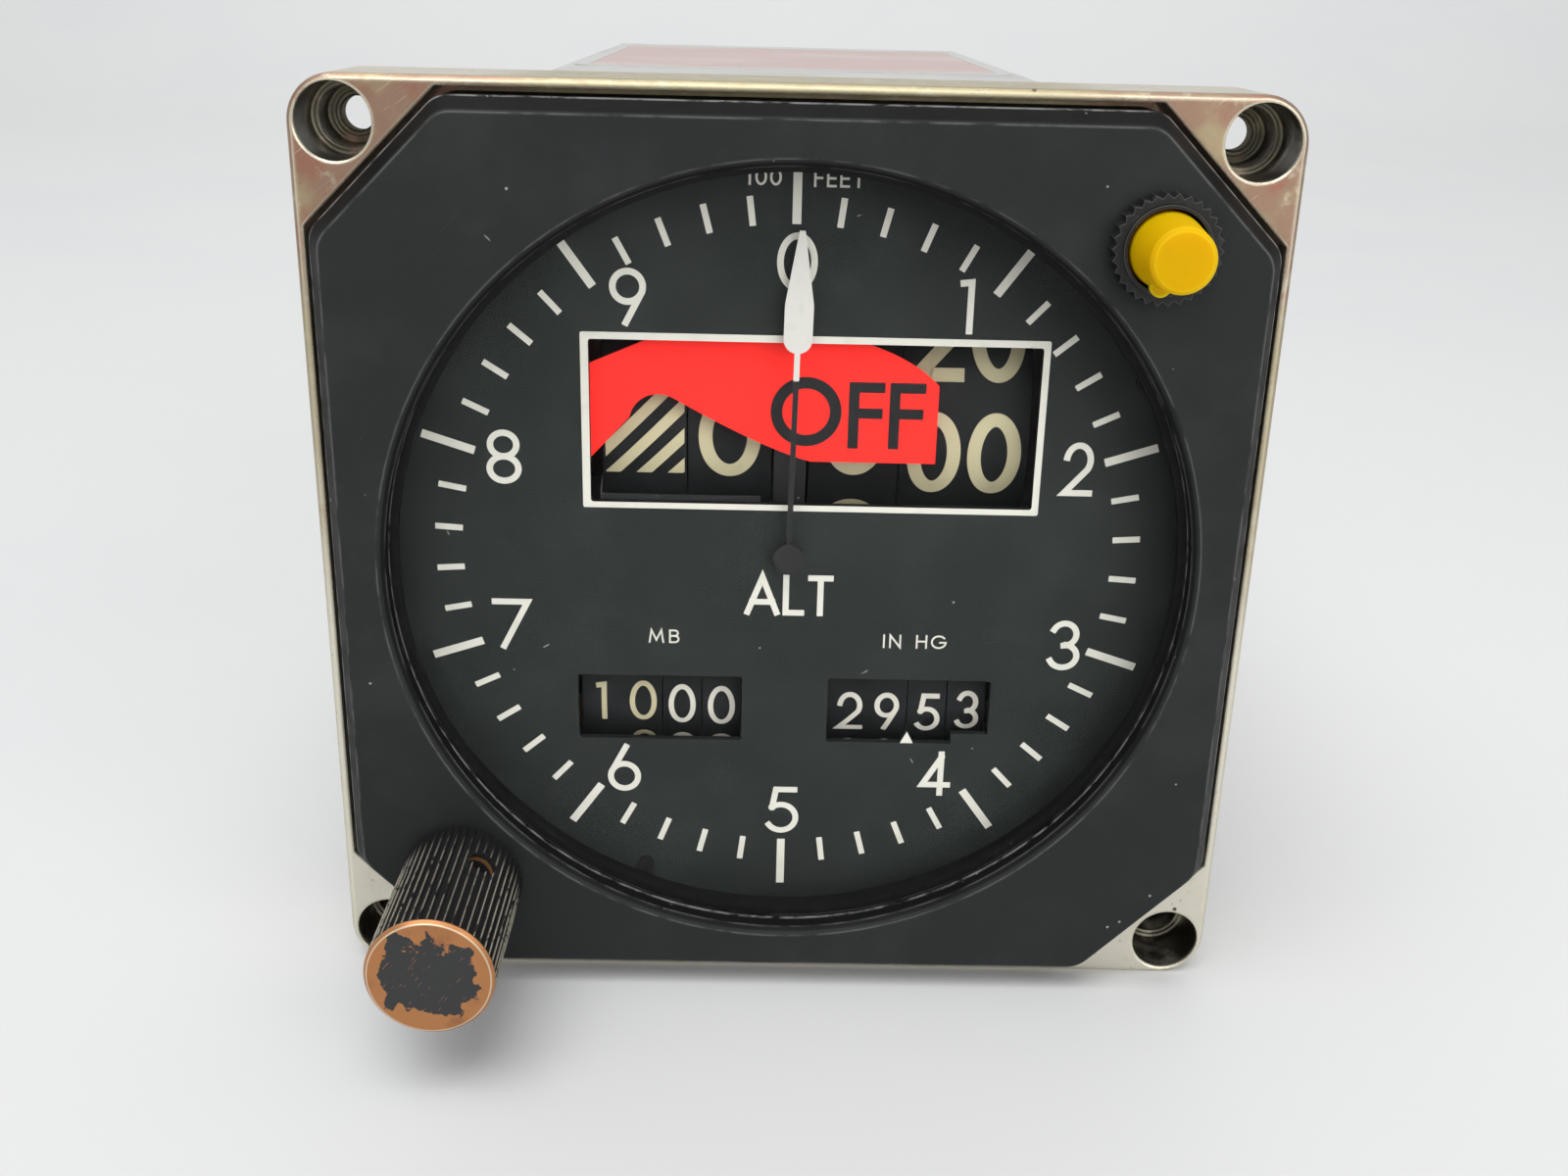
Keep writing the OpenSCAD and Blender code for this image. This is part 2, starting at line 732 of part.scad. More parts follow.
module pointer_gear() {
    spoke_r = gear_m * pointer_teeth / 2 - 3;
    color("goldenrod") difference() {
        union() {
            wheel(pointer_teeth, gear_m, 0, y_gears, y_gears + gear_t);
            rod(0, 0, gear_hub_r, y_gears, y_gears + gear_t + gear_hub_l);
        }
        rod(0, 0, pointer_shaft_r + seat_gap, y_gears - cut, y_gears + gear_t + gear_hub_l + cut);
        for (a = [0 : 60 : 300])
            rod(spoke_r * 0.65 * cos(a), spoke_r * 0.65 * sin(a), spoke_r * 0.25, y_gears - cut,
                y_gears + gear_t + cut);
    }
}

module shaft_bushes() {
    color("goldenrod") for (y = [main_plate_y, y_back_plate]) difference() {
        union() {
            rod(0, 0, bush_r, y, y + plate_t);
            rod(0, 0, bush_r + bush_rim_w, y - bush_rim_t, y);
        }
        rod(0, 0, pointer_shaft_r + run_gap, y - bush_rim_t - cut, y + plate_t + cut);
    }
}

// Altitude counter

module drum_ten_thousands() altitude_drum(drum_x_10k, drum_w_10k);
module drum_thousands() altitude_drum(drum_x_1k, drum_w_1k);
module drum_hundreds() altitude_drum(drum_x_100, drum_w_100);
module drum_tens() altitude_drum(drum_x_10, drum_w_10);

module counter_shaft() {
    color("silver") cross_rod(drum_y, drum_rise, counter_shaft_r, frame_left, frame_right + frame_t);
}

// Side plate of the counter: a round nose on the shaft, run back to the bar
module counter_side(x0, w) {
    translate([x0, drum_y, drum_rise]) rotate([90, 0, 90]) linear_extrude(w) {
        circle(frame_h / 2);
        translate([0, -frame_h / 2]) square([main_plate_y - drum_y, frame_h]);
    }
}

module counter_frame() {
    color("gray") difference() {
        union() {
            counter_side(frame_left, frame_t);
            counter_side(frame_right, frame_t);
            counter_side(-post_w / 2, post_w);
            intersection() {
                cross_rod(drum_y, drum_rise, drum_r - clear, -post_w / 2, post_w / 2);
                translate([-post_w, y_flag, -post_foot])
                    cube([2 * post_w, 4 * drum_r, post_foot + alt_win_z + alt_win_h / 2 + post_head]);
            }
            translate([frame_left, main_plate_y - bar_d, drum_rise - frame_h / 2])
                cube([frame_right + frame_t - frame_left, bar_d, frame_h]);
        }
        cross_rod(drum_y, drum_rise, counter_shaft_r + seat_gap, frame_left - cut,
            frame_right + frame_t + cut);
        rod(0, 0, pointer_shaft_r + run_gap, y_flag, main_plate_y + cut);
    }
}

// Pressure counters

module mb_drum_hundreds() pressure_drum(-1, 0);
module mb_drum_tens() pressure_drum(-1, 1);
module mb_drum_units() pressure_drum(-1, 2);
module hg_drum_inches() pressure_drum(1, 0);
module hg_drum_tenths() pressure_drum(1, 1);
module hg_drum_hundredths() pressure_drum(1, 2);

module baro_shaft() {
    color("silver")
        cross_rod(baro_y, -baro_win_drop, counter_shaft_r, -baro_frame_x - frame_t,
            baro_frame_x + frame_t);
}

module baro_frame() {
    inner = baro_win_x - baro_set_w / 2 - clear;
    h = baro_ear_h;
    module ear(x0, w) {
        translate([x0, baro_y, -baro_win_drop]) rotate([90, 0, 90]) linear_extrude(w) {
            circle(h / 2);
            translate([0, -h / 2]) square([baro_bar_y + bar_d - baro_y, h]);
        }
    }
    color("gray") difference() {
        union() {
            ear(-baro_frame_x - frame_t, frame_t);
            ear(baro_frame_x, frame_t);
            ear(-inner, 2 * inner);
            translate([-baro_frame_x - frame_t, baro_bar_y, -baro_win_drop - h / 2])
                cube([2 * (baro_frame_x + frame_t), bar_d, h]);
            for (x = [-baro_leg_x, baro_leg_x])
                rod(x, -baro_win_drop, baro_leg_r, baro_bar_y, main_plate_y);
        }
        cross_rod(baro_y, -baro_win_drop, counter_shaft_r + seat_gap, -baro_frame_x - frame_t - cut,
            baro_frame_x + frame_t + cut);
    }
}

// Warning flag

// Curve from p to q, drawn towards the corner c
function bow(p, c, q) = [for (t = [0 : 0.1 : 1]) pow(1 - t, 2) * p + 2 * t * (1 - t) * c + t * t * q];

// Banner with its notch on the left, and the arm that rounds off about the pivot
module flag_outline() {
    top = alt_win_z + alt_win_h / 2 + slip_gap;
    notch = [for (a = [65 : 15 : 170]) notch_at + on_circle(notch_r, a)];
    arm_end = [for (a = [320 : -20 : 120]) flag_pivot + on_circle(arm_r, a)];
    polygon(concat(
        [[flag_left, top - notch_r], [notch_at[0], top]],
        bow([flag_bend, top], [flag_right - notch_r, top - notch_r / 2], [flag_right, top - flag_drop]),
        [[flag_right, flag_foot]],
        bow([flag_foot_x, flag_foot], [flag_foot_x - flag_drop, flag_foot + foot_rise], notch[0]),
        notch, [[flag_left, flag_foot]], arm_end
    ));
}

module off_flag() {
    color("red") difference() {
        slab(y_flag, y_flag + flag_t) flag_outline();
        rod(flag_pivot[0], flag_pivot[1], spindle_r + seat_gap, y_flag - cut, y_flag + flag_t + cut);
    }
}

module flag_spindle() {
    collar_y = y_flag + flag_t;
    color("silver") {
        rod(flag_pivot[0], flag_pivot[1], spindle_r, y_flag, coil_y + coil_l - end_wall - clear);
        rod(flag_pivot[0], flag_pivot[1], spindle_r + collar_w, collar_y, collar_y + collar_t);
    }
}

module flag_coil() {
    color("chocolate") difference() {
        rod(flag_pivot[0], flag_pivot[1], coil_r, coil_y, coil_y + coil_l);
        rod(flag_pivot[0], flag_pivot[1], spindle_r + run_gap, coil_y - cut, coil_y + coil_l - end_wall);
        for (y = [coil_y + coil_groove_w, coil_y + coil_l - 2 * coil_groove_w])
            turned(flag_pivot[0], flag_pivot[1], [
                [coil_r - coil_groove_d, y], [coil_r + cut, y],
                [coil_r + cut, y + coil_groove_w], [coil_r - coil_groove_d, y + coil_groove_w]
            ]);
    }
}

// Plate behind the coil, fixed to the counter's left side
module flag_bracket() {
    y = coil_y + coil_l;
    left = flag_pivot[0] - coil_r;
    color("gray") translate([left, y, flag_pivot[1] - coil_r])
        cube([frame_left - left, bracket_t, 2 * coil_r]);
}

// Setting knob

module baro_knob() {
    ridge = 360 / knurl_n;
    core_r = knob_r - knurl_d - seat_gap;
    tip = knob_y - knob_l;
    outline = [for (i = [0 : knurl_n - 1], k = [0 : 2])
        on_circle(knob_r - (k == 1 ? 0 : knurl_d), i * ridge + (k - 1) * ridge * 0.3)];
    color("dimgray") difference() {
        union() {
            translate([-control_at, 0, -control_at])
                slab(tip + knob_edge, knob_y - knob_edge) polygon(outline);
            turned(-control_at, -control_at, [
                [0, tip], [core_r - knob_edge, tip], [core_r, tip + knob_edge],
                [core_r, knob_y - knob_edge], [core_r - knob_edge, knob_y], [0, knob_y]
            ]);
        }
        rod(-control_at, -control_at, knob_shaft_r + seat_gap, tip + knob_face_t, knob_y + cut);
        grub_axis() cylinder(r = grub_r, h = 2 * knob_r);
    }
}

// Moves children to the knob's axis and lays +Z along the set screw
module grub_axis() {
    translate([-control_at, knob_y - grub_at, -control_at]) rotate([0, 90 - grub_angle, 0]) children();
}

module knob_shaft() {
    color("silver") {
        rod(-control_at, -control_at, knob_shaft_r, knob_y - knob_l + knob_face_t, knob_pinion_y);
        translate([-control_at, 0, -control_at])
            wheel(knob_teeth, baro_m, 45, knob_pinion_y, knob_pinion_y + gear_t + 1);
    }
}

module knob_bush() {
    color("goldenrod") difference() {
        rod(-control_at, -control_at, knob_bush_r, y_bezel, knob_bush_end);
        rod(-control_at, -control_at, knob_shaft_r + run_gap, y_bezel - cut, knob_bush_end + cut);
    }
}

module grub_screw() {
    color("black") difference() {
        grub_axis() translate([0, 0, knob_shaft_r + seat_gap])
            cylinder(r = grub_r - seat_gap, h = grub_l);
        grub_axis() translate([0, 0, knob_shaft_r + grub_l / 2])
            cylinder(r = grub_r / 2, h = grub_l, $fn = 6);
    }
}

module baro_gear() {
    color("goldenrod") translate([-baro_gear_at, 0, -baro_gear_at]) {
        wheel(baro_teeth, baro_m, mesh_turn(knob_teeth, baro_teeth, 0) + 45, knob_pinion_y,
            knob_pinion_y + gear_t);
        rod(0, 0, gear_shaft_r, knob_pinion_y - 1, main_plate_y + plate_t + pot_l - end_wall - clear);
        rod(0, 0, baro_gear_hub_r, knob_pinion_y, knob_pinion_y + gear_t + gear_hub_l);
    }
}

// Sensor of the pressure setting, on the back of the main plate
module baro_sensor() {
    y = main_plate_y + plate_t;
    color("steelblue") difference() {
        union() {
            rod(-baro_gear_at, -baro_gear_at, pot_r, y, y + pot_l - 2);
            rod(-baro_gear_at, -baro_gear_at, pot_r - pot_step, y, y + pot_l);
        }
        rod(-baro_gear_at, -baro_gear_at, gear_shaft_r + run_gap, y - cut, y + pot_l - end_wall);
    }
}

// Push button

module button_cap() {
    tip = y_bezel - cap_l;
    color("gold") difference() {
        union() {
            turned(control_at, control_at, [
                [0, tip], [cap_tip_r - cap_edge, tip], [cap_tip_r, tip + cap_edge],
                [cap_r, y_bezel - cap_edge], [cap_r, cap_root_y], [0, cap_root_y]
            ]);
            translate([control_at, 0, control_at]) rotate([0, -lug_angle, 0])
                rod(cap_tip_r, 0, cap_lug_r, lug_y - lug_t, lug_y);
        }
        rod(control_at, control_at, plunger_r + seat_gap, y_bezel - cap_l / 2, cap_root_y + cut);
    }
}

module button_plunger() {
    color("gainsboro")
        rod(control_at, control_at, plunger_r, y_bezel - cap_l / 2, switch_end - press_travel - 2);
}

// Return spring round the plunger, wound as a row of rings on two rails
module button_spring() {
    y0 = cap_root_y;
    y1 = switch_end - switch_floor_t;
    wire = spring_wire_r;
    r = plunger_r + spring_room;
    step = (y1 - y0 - 2 * wire) / spring_turns;
    color("silver") {
        for (i = [0 : spring_turns]) translate([control_at, y0 + wire + i * step, control_at])
            rotate([-90, 0, 0]) rotate_extrude() translate([r, 0]) circle(wire, $fn = 24);
        for (a = [0, 180])
            rod(control_at + r * cos(a), control_at + r * sin(a), wire * 0.8, y0 + wire, y1 - wire);
    }
}

module button_nut() {
    outline = [for (i = [0 : 2 * nut_teeth - 1])
        on_circle(nut_r - (i % 2) * 0.4, i * 180 / nut_teeth)];
    color("dimgray") difference() {
        translate([control_at, 0, control_at]) slab(y_bezel - nut_t, y_bezel) polygon(outline);
        rod(control_at, control_at, bushing_r + seat_gap, y_bezel - nut_t - cut, y_bezel + cut);
    }
}

module switch_body() {
    color("darkgray") {
        difference() {
            rod(control_at, control_at, bushing_r, y_bezel - bushing_out, switch_end);
            rod(control_at, control_at, bushing_in_r, y_bezel - bushing_out - cut,
                switch_end - switch_floor_t);
        }
        for (x = [-lead_at, lead_at])
            rod(control_at + x, control_at - lead_at, lead_r, switch_end, spigot_l + 2);
    }
}

// Works behind the dial

// Plate of the works with its four side posts and the shaft bush
module works_plate(y) {
    difference() {
        slab(y, y + plate_t) octagon(plate_h, plate_leg);
        rod(0, 0, bush_r + seat_gap, y - cut, y + plate_t + cut);
        children();
    }
}

module main_plate() {
    color("lightgray") works_plate(main_plate_y) {
        rod(-baro_gear_at, -baro_gear_at, gear_shaft_r + run_gap, main_plate_y - cut,
            main_plate_y + plate_t + cut);
        for (x = [-wire_hole_at, wire_hole_at])
            rod(x, 0, wire_hole_r, main_plate_y - cut, main_plate_y + plate_t + cut);
    }
}

module back_plate() {
    color("lightgray") works_plate(y_back_plate) {
        for (p = [motor_off * [cos(motor_angle), sin(motor_angle)],
                  synchro_off * [cos(synchro_angle), sin(synchro_angle)]])
            rod(p[0], p[1], nose_r + slip_gap, y_back_plate - cut, y_motor + cut);
    }
}

module front_pillars() {
    color("silver") for (p = front_pillars_at) rod(p[0], p[1], pillar_r, spigot_l, main_plate_y);
}

module rear_pillars() {
    color("silver") for (p = rear_pillars_at)
        rod(p[0], p[1], pillar_r, main_plate_y + plate_t, y_back_plate);
}

// Posts that carry the board and take the case screws
module case_posts() {
    color("silver") for (p = rear_pillars_at) difference() {
        union() {
            rod(p[0], p[1], pillar_r, y_motor, y_board);
            rod(p[0], p[1], post_tip_r, y_board, y_case_wall);
        }
        rod(p[0], p[1], screw_r + seat_gap, y_case_wall - case_screw_l - cut, y_case_wall + cut);
    }
}

// Round drive unit on the back plate with a blind bore for its shaft
module drive_unit(off, angle, r, l) {
    x = off * cos(angle);
    z = off * sin(angle);
    difference() {
        union() {
            rod(x, z, nose_r, y_back_plate, y_motor);
            rod(x, z, r, y_motor, y_motor + l - unit_cap_l);
            rod(x, z, r - unit_step, y_motor + l - unit_cap_l, y_motor + l);
        }
        rod(x, z, gear_shaft_r + run_gap, y_back_plate - cut, y_motor + l / 2);
    }
}

module servo_motor() {
    color("slategray") drive_unit(motor_off, motor_angle, motor_r, motor_l);
}

module feedback_synchro() {
    color("slategray") drive_unit(synchro_off, synchro_angle, synchro_r, synchro_l);
}

// Gear on the shaft of a drive unit, in mesh with the pointer gear
module drive_gear(off, angle, n, l) {
    translate([off * cos(angle), 0, off * sin(angle)]) {
        wheel(n, gear_m, mesh_turn(pointer_teeth, n, angle), y_gears, y_gears + gear_t);
        rod(0, 0, gear_shaft_r, y_gears - 1, y_motor + l / 2 - clear);
    }
}

module motor_pinion() {
    color("goldenrod") drive_gear(motor_off, motor_angle, motor_teeth, motor_l);
}

module synchro_gear() {
    color("goldenrod") drive_gear(synchro_off, synchro_angle, synchro_teeth, synchro_l);
}

module circuit_board() {
    color("darkgreen") difference() {
        slab(y_board, y_board + board_t) octagon(plate_h, plate_leg);
        for (p = rear_pillars_at)
            rod(p[0], p[1], post_tip_r + slip_gap, y_board - cut, y_board + board_t + cut);
    }
}

// Transformer, capacitors and chips on the rear of the board
module board_parts() {
    y = y_board + board_t;
    color("darkslategray") {
        translate([core[0], y, -core[2] / 2]) cube(core);
        for (z = [-can_at, can_at]) rod(-2 * can_at - can_r, z, can_r, y, y + core[1]);
        for (i = [-1 : 1])
            translate([i * chip_pitch - chip[0] / 2, y, post_at - chip[0] - chip[2]]) cube(chip);
        for (i = [-1, 1])
            translate([i * chip_pitch - chip[0] / 2, y, chip[0] - post_at]) cube(chip);
    }
}

// Case and rear connector

module case() {
    color("silver") difference() {
        slab(-rebate_d, case_d) octagon(case_h, case_leg);
        slab(-rebate_d - cut, y_case_wall) octagon(case_in_h, case_in_leg);
        rod(0, 0, conn_neck_r + slip_gap, y_case_wall - cut, case_d + cut);
        for (p = rear_pillars_at) rod(p[0], p[1], screw_r + slip_gap, y_case_wall - cut, case_d + cut);
        for (x = [-1, 1], z = [-1, 1])
            rod(x * conn_screw_at, z * conn_screw_at, screw_r + seat_gap, y_case_wall - cut, case_d + cut);
    }
}

module case_screws() {
    color("silver") for (p = rear_pillars_at) pan_screw(p[0], p[1], case_d, 1, case_screw_l);
}

module connector_shell() {
    in_r = conn_r - conn_shell_t;
    color("olive") difference() {
        union() {
            slab(case_d, case_d + conn_flange_t) round_square(conn_w, conn_corner_r);
            rod(0, 0, conn_r, case_d, case_d + conn_l);
            rod(0, 0, conn_neck_r, case_d - conn_inner_l, case_d);
        }
        rod(0, 0, in_r, case_d - conn_inner_l - cut, case_d + conn_l + cut);
        for (x = [-1, 1], z = [-1, 1])
            rod(x * conn_screw_at, z * conn_screw_at, screw_r + seat_gap, case_d - cut,
                case_d + conn_flange_t + cut);
    }
}

// Hexagonal field of contacts, without its corners
pin_field = [for (i = [-2 : 2], k = [-2 : 2])
    let (x = (i + (abs(k) % 2) / 2) * pin_pitch, z = k * pin_pitch * sqrt(3) / 2)
    if (norm([x, z]) < conn_r - conn_shell_t - 1.5) [x, z]];

module connector_insert() {
    color("black") difference() {
        rod(0, 0, conn_r - conn_shell_t, case_d - conn_inner_l, case_d + insert_face);
        for (p = pin_field)
            rod(p[0], p[1], pin_r, case_d - conn_inner_l - cut, case_d + insert_face + cut);
    }
}

module connector_pins() {
    color("gold") for (p = pin_field)
        rod(p[0], p[1], pin_r, case_d - conn_inner_l - pin_tail, case_d + insert_face + pin_out);
}

module connector_screws() {
    color("silver") for (x = [-1, 1], z = [-1, 1])
        pan_screw(x * conn_screw_at, z * conn_screw_at, case_d + conn_flange_t, 1, conn_screw_l);
}

flange();
bezel();
glass_gasket();
cover_glass();
spacer_ring();
dial();
dial_screws();
pointer();
pointer_shaft();
pointer_gear();
shaft_bushes();
drum_ten_thousands();
drum_thousands();
drum_hundreds();
drum_tens();
counter_shaft();
counter_frame();
mb_drum_hundreds();
mb_drum_tens();
mb_drum_units();
hg_drum_inches();
hg_drum_tenths();
hg_drum_hundredths();
baro_shaft();
baro_frame();
off_flag();
flag_spindle();
flag_coil();
flag_bracket();
baro_knob();
knob_shaft();
knob_bush();
grub_screw();
baro_gear();
baro_sensor();
button_cap();
button_plunger();
button_spring();
button_nut();
switch_body();
main_plate();
back_plate();
front_pillars();
rear_pillars();
case_posts();
servo_motor();
motor_pinion();
feedback_synchro();
synchro_gear();
circuit_board();
board_parts();
case();
case_screws();
connector_shell();
connector_insert();
connector_pins();
connector_screws();
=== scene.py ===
import json
import math

import bmesh
import bpy
from mathutils import Matrix, Vector


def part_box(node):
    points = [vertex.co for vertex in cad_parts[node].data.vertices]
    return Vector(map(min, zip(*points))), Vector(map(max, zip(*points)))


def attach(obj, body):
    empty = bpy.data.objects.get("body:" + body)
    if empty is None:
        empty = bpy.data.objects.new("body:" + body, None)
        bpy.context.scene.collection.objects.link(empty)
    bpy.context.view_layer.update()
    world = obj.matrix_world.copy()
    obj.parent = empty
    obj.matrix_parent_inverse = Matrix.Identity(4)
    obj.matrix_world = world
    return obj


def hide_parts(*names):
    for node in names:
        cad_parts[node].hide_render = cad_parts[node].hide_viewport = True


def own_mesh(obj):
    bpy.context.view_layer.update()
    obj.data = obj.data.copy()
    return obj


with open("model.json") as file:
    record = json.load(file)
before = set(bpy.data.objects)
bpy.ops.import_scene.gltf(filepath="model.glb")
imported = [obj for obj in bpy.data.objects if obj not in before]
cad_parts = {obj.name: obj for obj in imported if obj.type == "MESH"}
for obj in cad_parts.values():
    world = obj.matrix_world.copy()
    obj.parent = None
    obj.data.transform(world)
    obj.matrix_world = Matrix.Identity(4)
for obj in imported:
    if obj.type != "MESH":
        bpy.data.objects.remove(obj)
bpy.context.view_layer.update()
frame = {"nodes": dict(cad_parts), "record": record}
nodes = frame["nodes"]

# Sizes below are in millimetres, and become metres on their way into Blender
MM = 0.001


def box_mm(node):
    """Lowest and highest corner of a node, in millimetres."""
    low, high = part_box(node)
    return low / MM, high / MM


# Places taken from the frame

DIAL_FACE_Y = box_mm("dial")[0].y
BEZEL_FACE_Y = box_mm("bezel")[0].y
FLAG_FACE_Y = box_mm("off_flag")[0].y
CASE_TOP_Z = box_mm("case")[1].z
FLANGE_LOW = box_mm("flange")[0]
KNOB_LOW, KNOB_HIGH = box_mm("baro_knob")
KNOB_AXIS = (KNOB_LOW + KNOB_HIGH) / 2
KNOB_R = (KNOB_HIGH.x - KNOB_LOW.x) / 2
KNOB_RIM, RIM_SINK, RIM_DEPTH = 0.3, 0.02, 0.42
RIM_WALL, RIM_BACK = 0.77, 0.4
HOLE = frame["record"]["mounts"][0]["dims"]
HOLE_AT = HOLE["spacing_x_mm"] / 2
HOLE_R = HOLE["hole_r_mm"]
COUNTERBORE_R = 3.15
CORNER_REACH, STRIP_START = 11, 18
BEVEL_D = 2.1
INK = 0.03
STROKE_STEP = 0.15

# Stroke font: a capital is one unit tall, and x runs about the middle of each character


def arc(cx, cy, rx, ry, start, end, steps=32):
    """Points of an elliptic arc, in degrees from +x towards +y."""
    turns = [math.radians(start + (end - start) * i / steps) for i in range(steps + 1)]
    return [(cx + rx * math.cos(a), cy + ry * math.sin(a)) for a in turns]


def half_turn(strokes):
    """The same strokes turned by half a turn about the middle of the character."""
    return [[(-x, 1 - y) for x, y in stroke] for stroke in strokes]


SIX = [arc(0, 0.295, 0.295, 0.295, 152, 512), [(-0.26, 0.433), (0.04, 1)]]
TWO_TOP = arc(0, 0.69, 0.3, 0.31, 170, -38)
THREE_TOP = arc(-0.01, 0.75, 0.25, 0.25, 155, -90, 20)
THREE_FOOT = arc(-0.01, 0.26, 0.29, 0.26, 80, -155, 24)
FIVE_BOWL = arc(-0.03, 0.315, 0.32, 0.315, 128, -145)
B_FRAME = [(0.08, 1), (-0.22, 1), (-0.22, 0), (0.08, 0)]
B_TOP = arc(0.08, 0.77, 0.2, 0.23, 90, -90, 16)
B_FOOT = arc(0.08, 0.27, 0.24, 0.27, 90, -90, 16)

GLYPHS = {
    "0": (0.66, [arc(0, 0.5, 0.33, 0.5, 90, 450, 48)]),
    "1": (0.3, [[(-0.1, 0.93), (0.06, 0.95), (0.06, 0)]]),
    "2": (0.62, [TWO_TOP + [(-0.31, 0), (0.33, 0)]]),
    "3": (0.58, [THREE_TOP, THREE_FOOT]),
    "4": (0.68, [[(0.17, 0.86), (-0.22, 0.2), (0.33, 0.2)], [(0.17, 0), (0.17, 0.94)]]),
    "5": (0.6, [[(0.25, 1), (-0.15, 1), FIVE_BOWL[0]], FIVE_BOWL]),
    "6": (0.59, SIX),
    "7": (0.7, [[(-0.38, 1), (0.3, 1), (-0.22, 0)]]),
    "8": (0.58, [arc(0, 0.755, 0.265, 0.245, 90, 450), arc(0, 0.255, 0.29, 0.255, 90, 450)]),
    "9": (0.59, half_turn(SIX)),
    "A": (0.78, [[(-0.39, 0), (0, 1), (0.39, 0)], [(-0.27, 0.3), (0.27, 0.3)]]),
    "B": (0.52, [B_FRAME, B_TOP, B_FOOT, [(-0.22, 0.54), (0.08, 0.54)]]),
    "E": (0.46, [[(0.23, 1), (-0.23, 1), (-0.23, 0), (0.23, 0)], [(-0.23, 0.53), (0.2, 0.53)]]),
    "F": (0.44, [[(0.22, 1), (-0.22, 1), (-0.22, 0)], [(-0.22, 0.54), (0.19, 0.54)]]),
    "G": (0.86, [arc(0, 0.5, 0.46, 0.5, 42, 352, 40) + [(0.46, 0.46), (0.08, 0.46)]]),
    "H": (0.62, [[(-0.31, 0), (-0.31, 1)], [(0.31, 0), (0.31, 1)], [(-0.31, 0.53), (0.31, 0.53)]]),
    "I": (0.02, [[(0, 0), (0, 1)]]),
    "L": (0.42, [[(-0.21, 1), (-0.21, 0), (0.21, 0)]]),
    "M": (0.86, [[(-0.43, 0), (-0.31, 1), (0, 0.18), (0.31, 1), (0.43, 0)]]),
    "N": (0.66, [[(-0.33, 0), (-0.33, 1), (0.33, 0), (0.33, 1)]]),
    "O": (1.0, [arc(0, 0.5, 0.5, 0.5, 90, 450, 64)]),
    "T": (0.52, [[(-0.26, 1), (0.26, 1)], [(0, 1), (0, 0)]]),
    " ": (0.3, []),
}

# Thin raised print, laid on a flat or a round face


def dial_place(u, v, h):
    """A point of the dial's face: u to the right, v up, h towards the glass."""
    return (u, DIAL_FACE_Y - h, v)


def flag_place(u, v, h):
    """A point of the flag's face."""
    return (u, FLAG_FACE_Y - h, v)


def drum_place(node, turn):
    """A drum's rim unrolled about the line that lies turn degrees above its front."""
    low, high = box_mm(node)
    mid = (low + high) / 2
    r = (high.z - low.z) / 2

    def place(u, v, h):
        a = math.radians(turn) + v / r
        return (mid.x + u, mid.y - (r + h) * math.cos(a), mid.z + (r + h) * math.sin(a))

    return place


def prism(bm, outline, place, height=INK):
    """Adds a thin closed plate whose outline is a convex ring of (u, v)."""
    foot = [bm.verts.new(Vector(place(u, v, 0)) * MM) for u, v in outline]
    head = [bm.verts.new(Vector(place(u, v, height)) * MM) for u, v in outline]
    bm.faces.new(head)
    bm.faces.new(foot[::-1])
    for i in range(len(outline)):
        k = (i + 1) % len(outline)
        bm.faces.new((foot[i], foot[k], head[k], head[i]))


def strip(bm, left, right, place, height, closed):
    """Adds a raised band between two rows of (u, v)."""
    rows = []
    for row, h in ((left, 0), (right, 0), (right, height), (left, height)):
        rows.append([bm.verts.new(Vector(place(u, v, h)) * MM) for u, v in row])
    count = len(left)
    for i in range(count if closed else count - 1):
        k = (i + 1) % count
        for a, b in ((0, 1), (1, 2), (2, 3), (3, 0)):
            bm.faces.new((rows[a][i], rows[b][i], rows[b][k], rows[a][k]))
    if not closed:
        bm.faces.new([row[0] for row in rows])
        bm.faces.new([row[-1] for row in rows[::-1]])


def ribbon(bm, points, width, place, height=INK):
    """Adds a band of even width along a line, with mitred corners and square ends."""
    pts = [Vector(p) for p in points]
    closed = (pts[0] - pts[-1]).length < 1e-6
    if closed:
        pts.pop()
    left, right = [], []
    for i, p in enumerate(pts):
        before = p - pts[i - 1] if closed or i else pts[1] - pts[0]
        after = pts[(i + 1) % len(pts)] - p if closed or i < len(pts) - 1 else before
        na = Vector((-before.y, before.x)).normalized()
        nb = Vector((-after.y, after.x)).normalized()
        mitre = (na + nb).normalized()
        reach = width / 2 / max(mitre.dot(na), 0.25)
        left.append(p + mitre * reach)
        right.append(p - mitre * reach)
    strip(bm, left, right, place, height, closed)


def lathe(bm, profile, x, z, steps=96):
    """Adds a ring turned about a line along Y, from a closed row of (radius, y)."""
    rows = []
    for k in range(steps):
        c, s = math.cos(2 * math.pi * k / steps), math.sin(2 * math.pi * k / steps)
        rows.append([bm.verts.new(Vector((x + r * c, y, z + r * s)) * MM) for r, y in profile])
    for near, far in zip(rows, rows[1:] + rows[:1]):
        for i in range(len(profile)):
            k = (i + 1) % len(profile)
            bm.faces.new((near[i], near[k], far[k], far[i]))


def split_long(points, step):
    """The same line with extra points, so that it can follow a round face."""
    out = [points[0]]
    for a, b in zip(points, points[1:]):
        count = max(1, math.ceil(math.dist(a, b) / step))
        shares = [i / count for i in range(1, count + 1)]
        out += [(a[0] + (b[0] - a[0]) * t, a[1] + (b[1] - a[1]) * t) for t in shares]
    return out


def text_width(text, em, stroke, gap):
    """Width of a line of text from the outside of its first stroke to that of its last."""
    return sum(GLYPHS[c][0] * em + stroke for c in text) + gap * (len(text) - 1)


